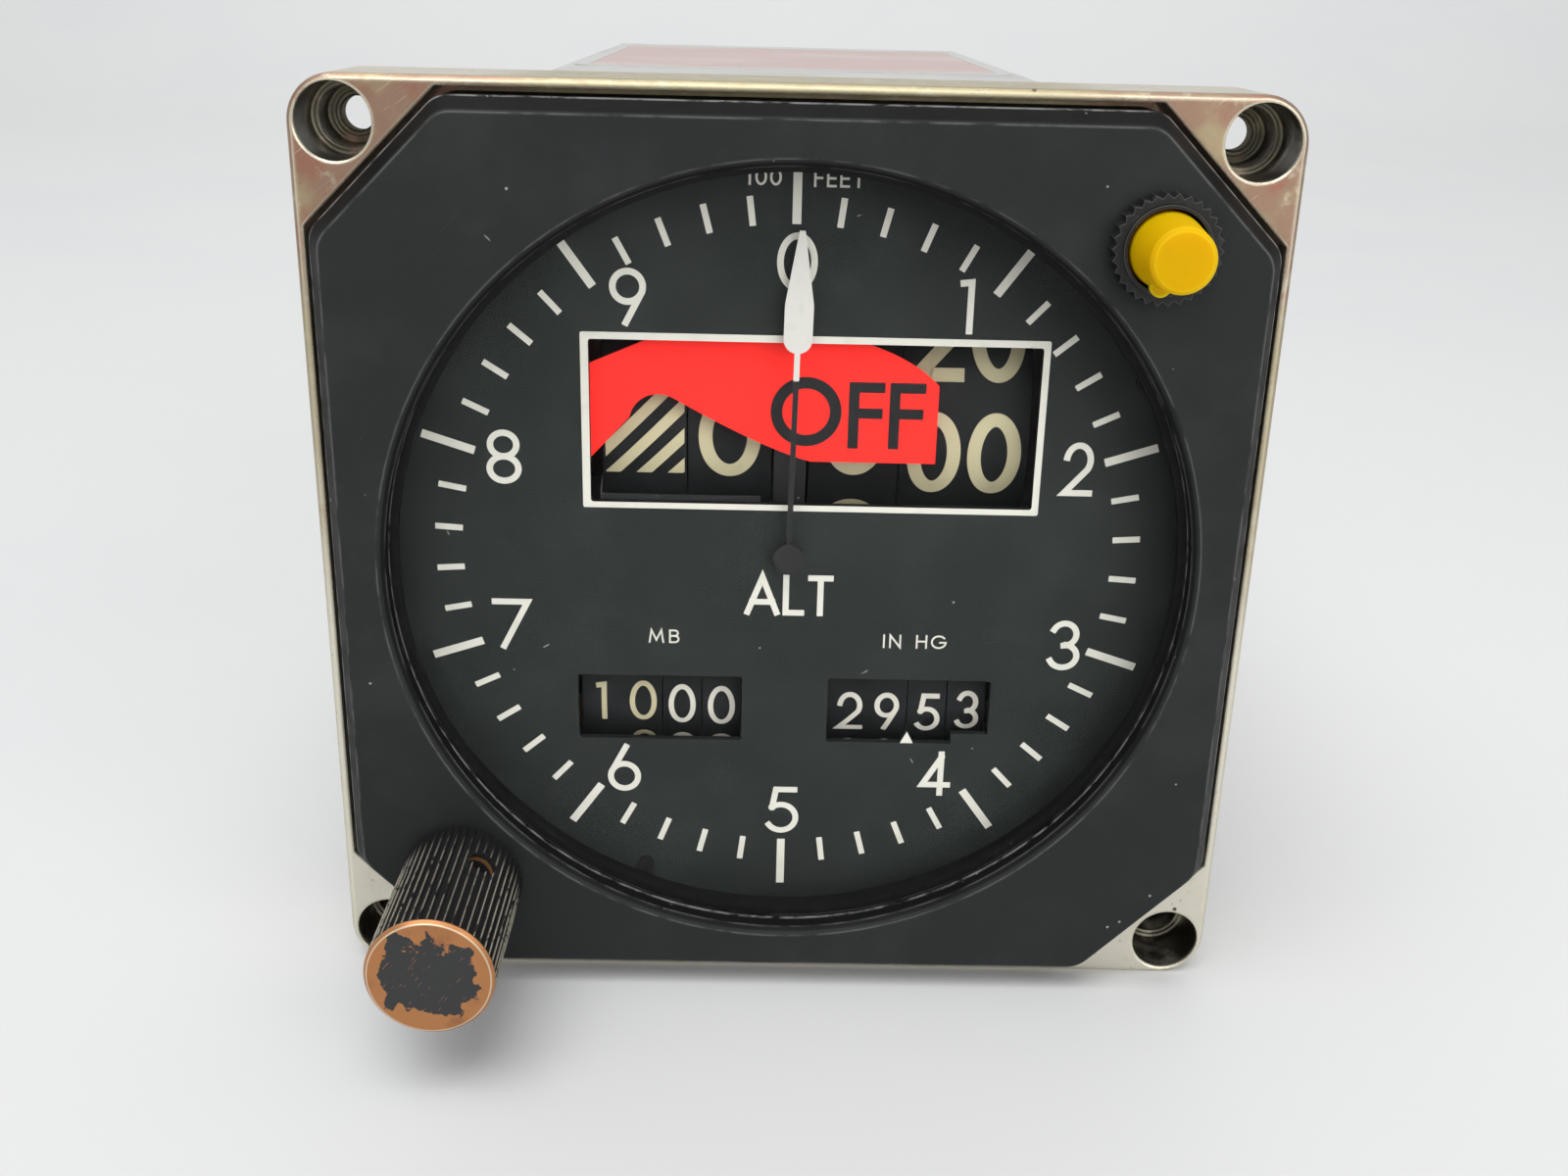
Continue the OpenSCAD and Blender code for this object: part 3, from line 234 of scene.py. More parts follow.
def square_ends(points, reach):
    """The same line with each open end pushed out by reach."""
    first, last = Vector(points[0]), Vector(points[-1])
    if (first - last).length < 1e-6:
        return points
    first += (first - Vector(points[1])).normalized() * reach
    last += (last - Vector(points[-2])).normalized() * reach
    return [tuple(first)] + points[1:-1] + [tuple(last)]


def write(bm, text, at, height, stroke, place, gap=0.5, stretch=1.0):
    """Draws a line of text centred on at; each stroke of a character stands over the one before."""
    em = height - stroke
    x = at[0] - text_width(text, em * stretch, stroke, gap) / 2
    foot = at[1] - em / 2
    for c in text:
        width, strokes = GLYPHS[c]
        mid = x + (width * em * stretch + stroke) / 2
        for k, line in enumerate(strokes):
            points = [(mid + px * em * stretch, foot + py * em) for px, py in line]
            points = split_long(square_ends(points, stroke / 2), height / 6)
            ribbon(bm, points, stroke, place, INK * (1 + STROKE_STEP * k))
        x += width * em * stretch + stroke + gap


def mesh_piece(name, bm, finish, body):
    """Turns a bmesh into a piece that rides on a body."""
    bmesh.ops.recalc_face_normals(bm, faces=bm.faces)
    mesh = bpy.data.meshes.new(name)
    bm.to_mesh(mesh)
    bm.free()
    piece = bpy.data.objects.new(name, mesh)
    bpy.context.scene.collection.objects.link(piece)
    mesh.materials.append(finish.mat)
    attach(piece, body)


# Sockets of Blender's Mix node, which are told apart by number

MIX_FACTOR = 0
MIX_FLOAT_A, MIX_FLOAT_B, MIX_FLOAT_OUT = 2, 3, 0
MIX_COLOUR_A, MIX_COLOUR_B, MIX_COLOUR_OUT = 6, 7, 2

# Procedural finishes


class Finish:
    """A material whose colour, roughness and relief are built up in layers over one shader."""

    def __init__(self, name, colour, roughness, metallic=0.0, shine=0.5):
        self.mat = bpy.data.materials.new(name)
        self.mat.use_nodes = True
        self.tree = self.mat.node_tree
        self.shader = self.tree.nodes["Principled BSDF"]
        self.coords = self.add("ShaderNodeTexCoord").outputs["Object"]
        self.colour = (*colour, 1)
        self.roughness = roughness
        self.normal = None
        self.set("Base Color", self.colour)
        self.set("Roughness", roughness)
        self.set("Metallic", metallic)
        self.set("Specular IOR Level", shine)

    def feed(self, socket, value):
        if isinstance(value, bpy.types.NodeSocket):
            self.tree.links.new(value, socket)
        else:
            socket.default_value = value

    def set(self, name, value):
        self.feed(self.shader.inputs[name], value)

    def add(self, kind, inputs=None, **settings):
        node = self.tree.nodes.new(kind)
        for key, value in settings.items():
            setattr(node, key, value)
        for key, value in (inputs or {}).items():
            self.feed(node.inputs[key], value)
        return node

    def math(self, operation, a, b=0.0):
        node = self.add("ShaderNodeMath", {0: a, 1: b}, operation=operation)
        return node.outputs[0]

    def vector(self, operation, a, b):
        return self.add("ShaderNodeVectorMath", {0: a, 1: b}, operation=operation)

    def noise(self, size, detail=4.0, rough=0.55, stretch=None):
        """Cloudy value from 0 to 1 with features of about size millimetres."""
        coords = self.vector("MULTIPLY", self.coords, stretch).outputs[0] if stretch else self.coords
        scale = 1 / (size * MM)
        values = {"Vector": coords, "Scale": scale, "Detail": detail, "Roughness": rough}
        return self.add("ShaderNodeTexNoise", values).outputs["Fac"]

    def band(self, value, low, high):
        """0 at low and 1 at high, smooth between them, whichever is the greater."""
        limits = {"Value": value, "From Min": low, "From Max": high}
        return self.add("ShaderNodeMapRange", limits, interpolation_type="SMOOTHSTEP").outputs["Result"]

    def both(self, a, b):
        return self.math("MULTIPLY", a, b)

    def either(self, a, b):
        return self.math("MAXIMUM", a, b)

    def axis_distance(self, x, z):
        """Distance in millimetres from a line along Y."""
        off = self.vector("SUBTRACT", self.coords, (x * MM, 0, z * MM)).outputs[0]
        flat = self.vector("MULTIPLY", off, (1 / MM, 0, 1 / MM)).outputs[0]
        return self.vector("LENGTH", flat, (0, 0, 0)).outputs["Value"]

    def hole_distance(self):
        """Distance in millimetres from the nearest of the four screw axes."""
        folded = self.vector("ABSOLUTE", self.coords, (0, 0, 0)).outputs[0]
        off = self.vector("SUBTRACT", folded, (HOLE_AT * MM, 0, HOLE_AT * MM)).outputs[0]
        flat = self.vector("MULTIPLY", off, (1 / MM, 0, 1 / MM)).outputs[0]
        return self.vector("LENGTH", flat, (0, 0, 0)).outputs["Value"]

    def along(self, axis):
        """Place along an axis, in millimetres."""
        parts = self.add("ShaderNodeSeparateXYZ", {"Vector": self.coords})
        return self.math("MULTIPLY", parts.outputs[axis], 1 / MM)

    def facing_front(self):
        """1 on faces that look to the front, and 0 on the sides and the back."""
        normal = self.add("ShaderNodeTexCoord").outputs["Normal"]
        parts = self.add("ShaderNodeSeparateXYZ", {"Vector": normal})
        return self.band(parts.outputs["Y"], -0.3, -0.7)

    def specks(self, spacing, radius, share):
        """Small scattered spots: one in each of a share of the cells."""
        cells = self.add("ShaderNodeTexVoronoi", {"Vector": self.coords, "Scale": 1 / (spacing * MM)})
        near = self.band(cells.outputs["Distance"], radius / spacing, radius / spacing * 0.6)
        pick = self.add("ShaderNodeSeparateColor", {"Color": cells.outputs["Color"]}).outputs["Red"]
        return self.both(near, self.math("LESS_THAN", pick, share))

    def fibres(self, turn):
        """A few short threads of dust, lying in one direction."""
        turned = self.add("ShaderNodeMapping", {"Vector": self.coords, "Rotation": (0, turn, 0)})
        sway = self.vector("MULTIPLY", self.noise(2, 2), (0.6 * MM,) * 3)
        bent = self.vector("ADD", turned.outputs[0], sway.outputs[0])
        long = self.vector("MULTIPLY", bent.outputs[0], (0.2, 1, 1)).outputs[0]
        cells = self.add("ShaderNodeTexVoronoi", {"Vector": long, "Scale": 1 / (1.8 * MM)})
        near = self.band(cells.outputs["Distance"], 0.05, 0.03)
        pick = self.add("ShaderNodeSeparateColor", {"Color": cells.outputs["Color"]}).outputs["Red"]
        return self.both(near, self.math("LESS_THAN", pick, 0.35))

    def scratches(self, length, width, amount, turn):
        """Thin broken lines in one direction, from a cloud that is drawn out along them."""
        turned = self.add("ShaderNodeMapping", {"Vector": self.coords, "Rotation": (0.3, turn, 0.2)})
        scale = (1 / length, 1 / width, 1 / width)
        spread = self.vector("MULTIPLY", turned.outputs[0], tuple(s / MM for s in scale)).outputs[0]
        values = {"Vector": spread, "Scale": 1.0, "Detail": 2.0}
        lines = self.add("ShaderNodeTexNoise", values).outputs["Fac"]
        return self.band(lines, 1 - amount, 1 - amount + 0.05)

    def worn_edges(self, radius, spread):
        """Rounds the edges in the light, and gives a broken mask that is 1 along them."""
        bevel = self.add("ShaderNodeBevel", {"Radius": radius * MM}, samples=6)
        flat = self.add("ShaderNodeNewGeometry").outputs["True Normal"]
        facing = self.vector("DOT_PRODUCT", bevel.outputs[0], flat).outputs["Value"]
        self.normal = bevel.outputs[0]
        self.set("Normal", self.normal)
        edge = self.band(facing, 0.995, 0.93)
        return self.both(edge, self.band(self.noise(3, 6), spread - 0.12, spread + 0.12))

    def tint(self, mask, colour):
        """Colour that goes over to another where mask is 1."""
        values = {MIX_FACTOR: mask, MIX_COLOUR_A: self.colour, MIX_COLOUR_B: (*colour, 1)}
        self.colour = self.add("ShaderNodeMix", values, data_type="RGBA").outputs[MIX_COLOUR_OUT]
        self.set("Base Color", self.colour)

    def rough(self, mask, value):
        """Roughness that goes towards value where mask is 1."""
        values = {MIX_FACTOR: mask, MIX_FLOAT_A: self.roughness, MIX_FLOAT_B: value}
        self.roughness = self.add("ShaderNodeMix", values, data_type="FLOAT").outputs[MIX_FLOAT_OUT]
        self.set("Roughness", self.roughness)

    def relief(self, height, depth):
        """Bump of the given depth in millimetres."""
        values = {"Height": height, "Distance": depth * MM, "Strength": 1.0}
        bump = self.add("ShaderNodeBump", values)
        if self.normal is not None:
            self.feed(bump.inputs["Normal"], self.normal)
        self.normal = bump.outputs[0]
        self.set("Normal", self.normal)
        return self


def flange_metal():
    """Champagne plated casting: pink corners and olive strips above, dark hollows and pits, rubbed edges
    that are lightened also as painted highlights.
    """
    f = Finish("flange_metal", (0.66, 0.63, 0.54), 0.36, 0.85)
    edge = f.worn_edges(0.5, 0.3)
    height = f.math("ADD", f.along("Z"), f.math("MULTIPLY", f.noise(16, 4), 46))
    high = f.band(height, 14, 48)
    above = f.both(high, f.math("ADD", f.math("MULTIPLY", f.facing_front(), 0.83), 0.12))
    strips = f.both(high, f.band(f.hole_distance(), CORNER_REACH, STRIP_START))
    f.tint(above, (0.3, 0.18, 0.12))
    f.tint(f.both(above, f.both(f.band(f.noise(4, 3), 0.48, 0.6), 0.75)), (0.33, 0.15, 0.105))
    f.tint(f.both(above, f.both(f.band(f.noise(5, 5), 0.5, 0.68), 0.7)), (0.4, 0.34, 0.2))
    f.tint(f.both(strips, 0.85), (0.42, 0.37, 0.23))
    f.tint(f.both(f.band(f.noise(2.2, 6), 0.58, 0.72), 0.6), (0.6, 0.55, 0.43))
    f.tint(f.specks(3.1, 0.26, 0.3), (0.1, 0.075, 0.055))
    f.tint(f.both(f.specks(0.7, 0.12, 0.45), 0.7), (0.22, 0.18, 0.13))
    f.tint(f.both(f.scratches(9, 0.12, 0.34, 0.6), 0.35), (0.8, 0.74, 0.62))
    inside = f.both(f.band(f.hole_distance(), COUNTERBORE_R + 0.06, COUNTERBORE_R),
                    f.band(f.along("Y"), FLANGE_LOW.y + 0.25, FLANGE_LOW.y + 0.6))
    f.tint(f.both(inside, f.band(f.noise(3, 4), 0.2, 0.5)), (0.075, 0.065, 0.045))
    # Rubbed edges: bare plating, lightened also as a painted highlight; darker olive on the strips.
    rubbed = f.both(edge, f.math("SUBTRACT", 1.0, f.both(inside, 0.75)))
    f.tint(rubbed, (0.85, 0.81, 0.63))
    f.tint(f.both(rubbed, strips), (0.53, 0.48, 0.31))
    f.rough(f.band(f.noise(1.2, 5), 0.35, 0.7), 0.5)
    f.rough(inside, 0.3)
    f.rough(edge, 0.25)
    return f.relief(f.noise(0.5, 4), 0.012)


def case_metal():
    """Pale bare metal can with faint drawn lines and handling marks."""
    f = Finish("case_metal", (0.6, 0.6, 0.58), 0.5, 0.7)
    edge = f.worn_edges(0.3, 0.45)
    f.tint(f.band(f.noise(14, 5), 0.45, 0.7), (0.53, 0.53, 0.51))
    f.tint(f.both(f.scratches(20, 0.12, 0.36, 0.1), 0.5), (0.78, 0.78, 0.76))
    f.tint(f.both(f.scratches(12, 0.1, 0.31, 1.2), 0.5), (0.4, 0.4, 0.39))
    f.tint(f.specks(6, 0.22, 0.12), (0.3, 0.29, 0.27))
    f.tint(edge, (0.88, 0.88, 0.86))
    f.rough(f.band(f.noise(5, 6), 0.4, 0.65), 0.62)
    return f.relief(f.noise(0.25, 2, stretch=(1, 0.04, 1)), 0.004)


def black_paint(name, colour, roughness, grain, edge_radius, shine, painted_shade_from=None, rubbed_highlight_at=None):
    """Dusty matt black paint with rubbed edges, lightened also as painted highlights; on Y, painted shade
    from painted_shade_from on and a rubbed, painted highlight line at rubbed_highlight_at.
    """
    f = Finish(name, colour, roughness, shine=shine)
    lighter = tuple(c * 1.35 for c in colour)
    f.tint(f.band(f.noise(9, 6), 0.4, 0.75), lighter)
    f.tint(f.both(f.scratches(6, 0.07, 0.29, 0.8), 0.2), (0.1, 0.1, 0.1))
    # Painted shade: everything behind painted_shade_from on Y is darkened towards black.
    if painted_shade_from is not None:
        f.tint(f.both(f.band(f.along("Y"), painted_shade_from, painted_shade_from + 0.2), 0.8), (0.003, 0.003, 0.003))
    # Rubbed edges, lightened also as painted highlight lines along them.
    if edge_radius:
        edge = f.worn_edges(edge_radius, 0.46)
        f.tint(f.both(edge, 0.8), (0.17, 0.17, 0.165))
    # A rubbed line at rubbed_highlight_at on Y, lightened also as a painted highlight line.
    if rubbed_highlight_at is not None:
        off = f.math("ABSOLUTE", f.math("SUBTRACT", f.along("Y"), rubbed_highlight_at))
        f.tint(f.both(f.band(off, 0.26, 0.12), f.band(f.noise(1.4, 6), 0.34, 0.6)), (0.2, 0.2, 0.195))
    f.tint(f.specks(2.6, 0.09, 0.1), (0.2, 0.2, 0.19))
    f.tint(f.specks(3.4, 0.16, 0.55), (0.3, 0.3, 0.29))
    f.tint(f.both(f.either(f.fibres(0.5), f.fibres(2.2)), 0.5), (0.4, 0.4, 0.39))
    f.rough(f.band(f.noise(4, 5), 0.4, 0.7), min(1.0, roughness + 0.12))
    return f.relief(f.noise(grain, 3), 0.01)


def plain_black(name, colour=(0.012, 0.012, 0.013), roughness=0.55):
    f = Finish(name, colour, roughness, shine=0.2)
    f.tint(f.band(f.noise(1.5, 5), 0.45, 0.75), tuple(c * 1.7 for c in colour))
    f.tint(f.specks(2.4, 0.07, 0.08), (0.18, 0.18, 0.17))
    return f.relief(f.noise(0.3, 3), 0.006)


def cover_glass():
    """Clear glass that lets the lamps reach the dial, with a faint dull film in places."""
    f = Finish("cover_glass", (1, 1, 1), 0.02)
    f.set("Transmission Weight", 1.0)
    f.set("IOR", 1.1)
    f.rough(f.band(f.noise(6, 5), 0.5, 0.8), 0.035)
    clear = f.add("ShaderNodeBsdfTransparent")
    path = f.add("ShaderNodeLightPath")
    values = {0: path.outputs["Is Shadow Ray"], 1: f.shader.outputs[0], 2: clear.outputs[0]}
    mix = f.add("ShaderNodeMixShader", values)
    f.feed(f.tree.nodes["Material Output"].inputs["Surface"], mix.outputs[0])
    return f


def pointer_white():
    """White blade on a black stem and hub."""
    white_from = 16.3
    f = Finish("pointer_white", (0.016, 0.016, 0.017), 0.5, shine=0.25)
    blade = f.band(f.axis_distance(0, 0), white_from - 0.05, white_from + 0.05)
    f.tint(blade, (0.57, 0.56, 0.52))
    f.tint(f.both(blade, f.band(f.noise(1.2, 5), 0.55, 0.8)), (0.53, 0.51, 0.46))
    f.tint(f.specks(1.6, 0.06, 0.12), (0.4, 0.38, 0.34))
    return f.relief(f.noise(0.4, 3), 0.004)


def bare_metal(name, colour, roughness):
    """Machined metal with tool lines, stains and rubbed edges."""
    f = Finish(name, colour, roughness, 1.0)
    edge = f.worn_edges(0.12, 0.42)
    f.tint(f.band(f.noise(4, 5), 0.5, 0.75), tuple(c * 0.72 for c in colour))
    f.tint(edge, tuple(min(1.0, c * 1.35) for c in colour))
    f.rough(f.band(f.noise(1.5, 5), 0.4, 0.7), roughness + 0.16)
    return f.relief(f.noise(0.3, 3, stretch=(1, 0.06, 1)), 0.005)


def drum_black():
    """Satin black drum with faint rub marks and dust."""
    f = Finish("drum_black", (0.009, 0.01, 0.0105), 0.5, shine=0.14)
    f.tint(f.band(f.noise(5, 6), 0.45, 0.75), (0.016, 0.017, 0.018))
    f.tint(f.both(f.scratches(8, 0.08, 0.31, 0.0), 0.25), (0.08, 0.08, 0.08))
    f.tint(f.specks(2.2, 0.06, 0.12), (0.3, 0.3, 0.28))
    return f.relief(f.noise(0.35, 3), 0.006)


def flag_red():
    """Fluorescent red paint, with a painted glow: a small emission of its own."""
    red = (0.9, 0.026, 0.02)
    f = Finish("flag_red", red, 0.6, shine=0.12)
    f.tint(f.band(f.noise(3, 5), 0.5, 0.8), (0.84, 0.022, 0.018))
    f.tint(f.specks(2.4, 0.06, 0.12), (0.5, 0.06, 0.04))
    # Painted glow: the flag gives off a little light though it is no lamp.
    f.set("Emission Color", (*red, 1))
    f.set("Emission Strength", 0.25)
    return f.relief(f.noise(0.4, 3), 0.006)


def knob_black():
    """Black anodised knob: bare ridges, a copper end and a ragged dark patch on it."""
    end_y = KNOB_LOW.y
    r = KNOB_R
    f = Finish("knob_black", (0.014, 0.014, 0.015), 0.42, shine=0.35)
    out = f.axis_distance(KNOB_AXIS.x, KNOB_AXIS.z)
    y = f.along("Y")
    copper = (0.45, 0.2, 0.08)
    ridge = f.band(out, r - 0.14, r - 0.05)
    rubbed = f.both(ridge, f.band(f.noise(0.5, 5, stretch=(1, 0.3, 1)), 0.36, 0.52))
    rubbed = f.both(rubbed, f.band(y, KNOB_HIGH.y - 1.5, KNOB_HIGH.y - 7))
    f.tint(rubbed, (0.78, 0.73, 0.6))
    end = f.band(y, end_y + 0.5, end_y + 0.44)
    hole = f.both(f.band(out, r - 0.62, r - 0.7), f.band(out, r - 1.05, r - 0.97))
    hole = f.both(hole, f.math("GREATER_THAN", y, end_y + 2))
    f.tint(hole, (0.5, 0.25, 0.09))
    f.tint(end, copper)
    f.tint(f.both(end, f.band(f.noise(2.5, 5), 0.5, 0.75)), (0.32, 0.14, 0.065))
    coarse = f.math("MULTIPLY", f.noise(2.4, 3, 0.5), 6.5)
    fine = f.math("MULTIPLY", f.noise(0.5, 5, 0.7), 1.7)
    ragged = f.math("ADD", out, f.math("ADD", coarse, fine))
    face = f.band(y, end_y + 0.06, end_y + 0.03)
    patch = f.both(face, f.band(ragged, 8.15, 8.05))
    f.tint(patch, (0.026, 0.027, 0.028))
    f.tint(f.both(patch, f.scratches(3, 0.08, 0.31, 0.9)), copper)
    rim_at = r - KNOB_RIM
    rim = f.both(f.band(out, rim_at - 0.1, rim_at - 0.06), f.band(out, rim_at + 0.08, rim_at + 0.03))
    f.tint(f.both(rim, f.band(y, end_y + 0.12, end_y + 0.08)), (0.66, 0.5, 0.34))
    bare = f.either(f.either(rubbed, hole), f.both(end, f.math("SUBTRACT", 1.0, patch)))
    f.set("Metallic", f.math("MULTIPLY", bare, 0.75))
    f.rough(bare, 0.36)
    return f.relief(f.noise(0.3, 4), 0.012)


def button_yellow():
    """Moulded yellow plastic, a little see-through at the edges."""
    f = Finish("button_yellow", (0.7, 0.415, 0.0005), 0.45, shine=0.06)
    f.tint(f.band(f.noise(2.5, 5), 0.5, 0.8), (0.65, 0.385, 0.001))
    edge = f.worn_edges(0.35, 0.2)
    f.tint(f.both(edge, 0.6), (0.78, 0.55, 0.02))
    f.tint(f.specks(1.8, 0.05, 0.15), (0.4, 0.22, 0.02))
    f.set("Subsurface Weight", 0.8)
    f.set("Subsurface Radius", (1.0, 0.55, 0.05))
    f.set("Subsurface Scale", 3 * MM)
    return f.relief(f.noise(0.5, 3), 0.006)


def nut_grey():
    """Blackened nut with grey tooth tips."""
    f = Finish("nut_grey", (0.022, 0.023, 0.023), 0.5, 0.3, 0.2)
    edge = f.worn_edges(0.12, 0.4)
    f.tint(f.band(f.noise(1.2, 5), 0.5, 0.75), (0.04, 0.04, 0.039))
    f.tint(f.both(edge, 0.7), (0.14, 0.14, 0.135))
    return f.relief(f.noise(0.2, 3), 0.008)


def moulded(name, colour, roughness=0.5):
    """Plain moulded, wound or lacquered piece with uneven colour."""
    f = Finish(name, colour, roughness)
    f.tint(f.band(f.noise(4, 5), 0.45, 0.75), tuple(c * 0.7 for c in colour))
    f.tint(f.specks(3, 0.1, 0.1), tuple(min(1.0, c * 1.8 + 0.02) for c in colour))
    return f.relief(f.noise(0.4, 4), 0.008)


def board_green():
    """Lacquered board with brighter tracks under the lacquer."""
    f = Finish("board_green", (0.02, 0.11, 0.045), 0.35)
    tracks = f.add("ShaderNodeTexBrick", {"Vector": f.coords, "Scale": 1 / (6 * MM), "Mortar Size": 0.06})
    f.tint(tracks.outputs["Fac"], (0.05, 0.2, 0.08))
    f.tint(f.specks(4, 0.5, 0.4), (0.55, 0.53, 0.46))
    return f.relief(tracks.outputs["Fac"], 0.02)


def ink(name, colour):
    """Printed ink: a little uneven, with pinholes."""
    f = Finish(name, colour, 0.6, shine=0.2)
    f.tint(f.band(f.noise(1.6, 5), 0.5, 0.8), tuple(c * 0.9 for c in colour))
    f.tint(f.specks(1.3, 0.05, 0.1), tuple(c * 0.5 for c in colour))
    return f.relief(f.noise(0.3, 3), 0.003)


def label_pink():
    """Faded pink label with paler worn patches and scratches."""
    f = Finish("label_pink", (0.5, 0.37, 0.345), 0.45)
    f.tint(f.band(f.noise(16, 5), 0.45, 0.7), (0.54, 0.445, 0.42))
    f.tint(f.both(f.scratches(14, 0.2, 0.34, 0.4), 0.6), (0.7, 0.62, 0.6))
    return f.relief(f.noise(0.8, 3), 0.006)


FINISHES = {
    "flange_metal": flange_metal(),
    "case_metal": case_metal(),
    # Bezel: painted shade behind its face, and a rubbed line with a painted highlight at the foot of its
    # bevel.
    "bezel_black": black_paint(
        "bezel_black", (0.0228, 0.0245, 0.0248), roughness=0.5, grain=0.5, edge_radius=0.3, shine=0.1,
        painted_shade_from=BEZEL_FACE_Y + 0.2, rubbed_highlight_at=BEZEL_FACE_Y + BEVEL_D),
    "seal_black": plain_black("seal_black", (0.006, 0.006, 0.006), 0.6),
    "cover_glass": cover_glass(),
    # Dial: painted shade on everything behind its face, such as the cut edges and sills of its windows.
    "dial_black": black_paint(
        "dial_black", (0.0185, 0.022, 0.021), roughness=0.7, grain=0.35, edge_radius=0, shine=0.12,
        painted_shade_from=DIAL_FACE_Y + 0.05),
    "small_black": plain_black("small_black"),
    "pointer_white": pointer_white(),
    "steel": bare_metal("steel", (0.6, 0.6, 0.6), 0.3),
    "gear_brass": bare_metal("gear_brass", (0.62, 0.42, 0.15), 0.32),
    "drum_black": drum_black(),
    "frame_black": black_paint(
        "frame_black", (0.03, 0.031, 0.032), roughness=0.5, grain=0.4, edge_radius=0.12, shine=0.25),
    "flag_red": flag_red(),
    "coil_brown": moulded("coil_brown", (0.25, 0.09, 0.03), 0.4),
    "knob_black": knob_black(),
    "button_yellow": button_yellow(),
    "nut_grey": nut_grey(),
    "plunger_grey": moulded("plunger_grey", (0.4, 0.4, 0.39)),
    "plate_metal": bare_metal("plate_metal", (0.62, 0.62, 0.6), 0.36),
    "drive_grey": moulded("drive_grey", (0.16, 0.17, 0.18), 0.4),
    "board_green": board_green(),
    "board_parts": moulded("board_parts", (0.03, 0.03, 0.032), 0.45),
    "connector_metal": bare_metal("connector_metal", (0.36, 0.35, 0.26), 0.42),
    "insert_black": moulded("insert_black", (0.018, 0.018, 0.018), 0.55),
    "contact_gold": bare_metal("contact_gold", (0.85, 0.6, 0.22), 0.25),
}

SLOT_OF = {part["node"]: part["material_slot"] for part in frame["record"]["subparts"]}
for name, obj in nodes.items():
    obj.data.materials.clear()
    obj.data.materials.append(FINISHES[SLOT_OF[name]].mat)

WHITE = ink("ink_white", (0.62, 0.61, 0.54))
CREAM = ink("ink_cream", (0.51, 0.468, 0.295))
PALE_CREAM = ink("ink_pale_cream", (0.64, 0.62, 0.54))
BLACK = ink("ink_black", (0.014, 0.014, 0.015))

# Dial print

TICKS = 50
TICK_FOOT = 29.6
TICK_LONG, TICK_LONG_W = 34.48, 0.75
TICK_SHORT, TICK_SHORT_W = 32.09, 0.55
FIGURE_H, FIGURE_STROKE = 5.0, 0.57
FIGURE_STRETCH = {"2": 0.8}
FIGURES_AT = {
    "0": (0.15, 26.4), "1": (14.95, 23.0), "2": (25.8, 8.5), "3": (26.0, -8.6), "4": (14.45, -22.05),
    "5": (0.07, -26.4), "6": (-15.2, -22.1), "7": (-25.25, -7.45), "8": (-25.6, 8.6), "9": (-14.4, 23.1),
}
ALT_H, ALT_STROKE = 4.0, 0.56
UNIT_H, UNIT_STROKE = 1.35, 0.165
FEET_H, FEET_STROKE = 1.4, 0.2
INDEX_X, INDEX_HALF_W = 11.75, 0.62
INDEX_FOOT, INDEX_TIP = -18.98, -17.78
WINDOW_OUT, WINDOW_OUT_ROUND = (-18.6, 4.06, 22.5, 20.03), 0.2
WINDOW_IN, WINDOW_IN_ROUND = (-17.9, 4.6, 21.9, 19.4), 0.25


def tick_marks(bm):
    for i in range(TICKS):
        long = i % 5 == 0
        top, width = (TICK_LONG, TICK_LONG_W) if long else (TICK_SHORT, TICK_SHORT_W)
        a = 2 * math.pi * i / TICKS
        out = Vector((math.sin(a), math.cos(a)))
        ribbon(bm, [out * TICK_FOOT, out * top], width, dial_place)


def rounded_ring(corners, radius, steps=6):
    """Points of a rectangle with round corners, anticlockwise from the lower right."""
    x0, z0, x1, z1 = corners
    left, right, foot, top = x0 + radius, x1 - radius, z0 + radius, z1 - radius
    points = []
    for k, (x, z) in enumerate(((right, foot), (right, top), (left, top), (left, foot))):
        points += arc(x, z, radius, radius, -90 + 90 * k, 90 * k, steps)
    return points


def dial_print():
    bm = bmesh.new()
    tick_marks(bm)
    for figure, at in FIGURES_AT.items():
        stretch = FIGURE_STRETCH.get(figure, 1.0)
        write(bm, figure, at, FIGURE_H, FIGURE_STROKE, dial_place, stretch=stretch)
    write(bm, "ALT", (0.16, -4.1), ALT_H, ALT_STROKE, dial_place, gap=0.28)
    write(bm, "MB", (-11.4, -8.4), UNIT_H, UNIT_STROKE, dial_place, gap=0.4, stretch=1.25)
    write(bm, "IN HG", (12.0, -8.5), UNIT_H, UNIT_STROKE, dial_place, gap=0.4, stretch=1.2)
    write(bm, "100", (-2.87, 33.45), FEET_H, FEET_STROKE, dial_place, gap=0.25)
    write(bm, "FEET", (3.48, 33.4), FEET_H, FEET_STROKE, dial_place, gap=0.27, stretch=1.16)
    inner, outer = rounded_ring(WINDOW_IN, WINDOW_IN_ROUND), rounded_ring(WINDOW_OUT, WINDOW_OUT_ROUND)
    strip(bm, inner, outer, dial_place, INK, True)
    mesh_piece("dial_print", bm, WHITE, "housing")


def index_mark():
    """White paint on the decimal index that stands in the right pressure window."""
    bm = bmesh.new()
    left, right = INDEX_X - INDEX_HALF_W, INDEX_X + INDEX_HALF_W
    prism(bm, [(left, INDEX_FOOT), (right, INDEX_FOOT), (INDEX_X, INDEX_TIP)], dial_place)
    mesh_piece("index_paint", bm, WHITE, "housing")


dial_print()
index_mark()

# Warning flag lettering

OFF_O, OFF_O_H, OFF_O_STROKE = (1.3, 12.9), 6.35, 1.05
OFF_F_X, OFF_F_Z = (6.7, 10.35), 12.65
OFF_F_H, OFF_F_STROKE = 6.1, 0.95


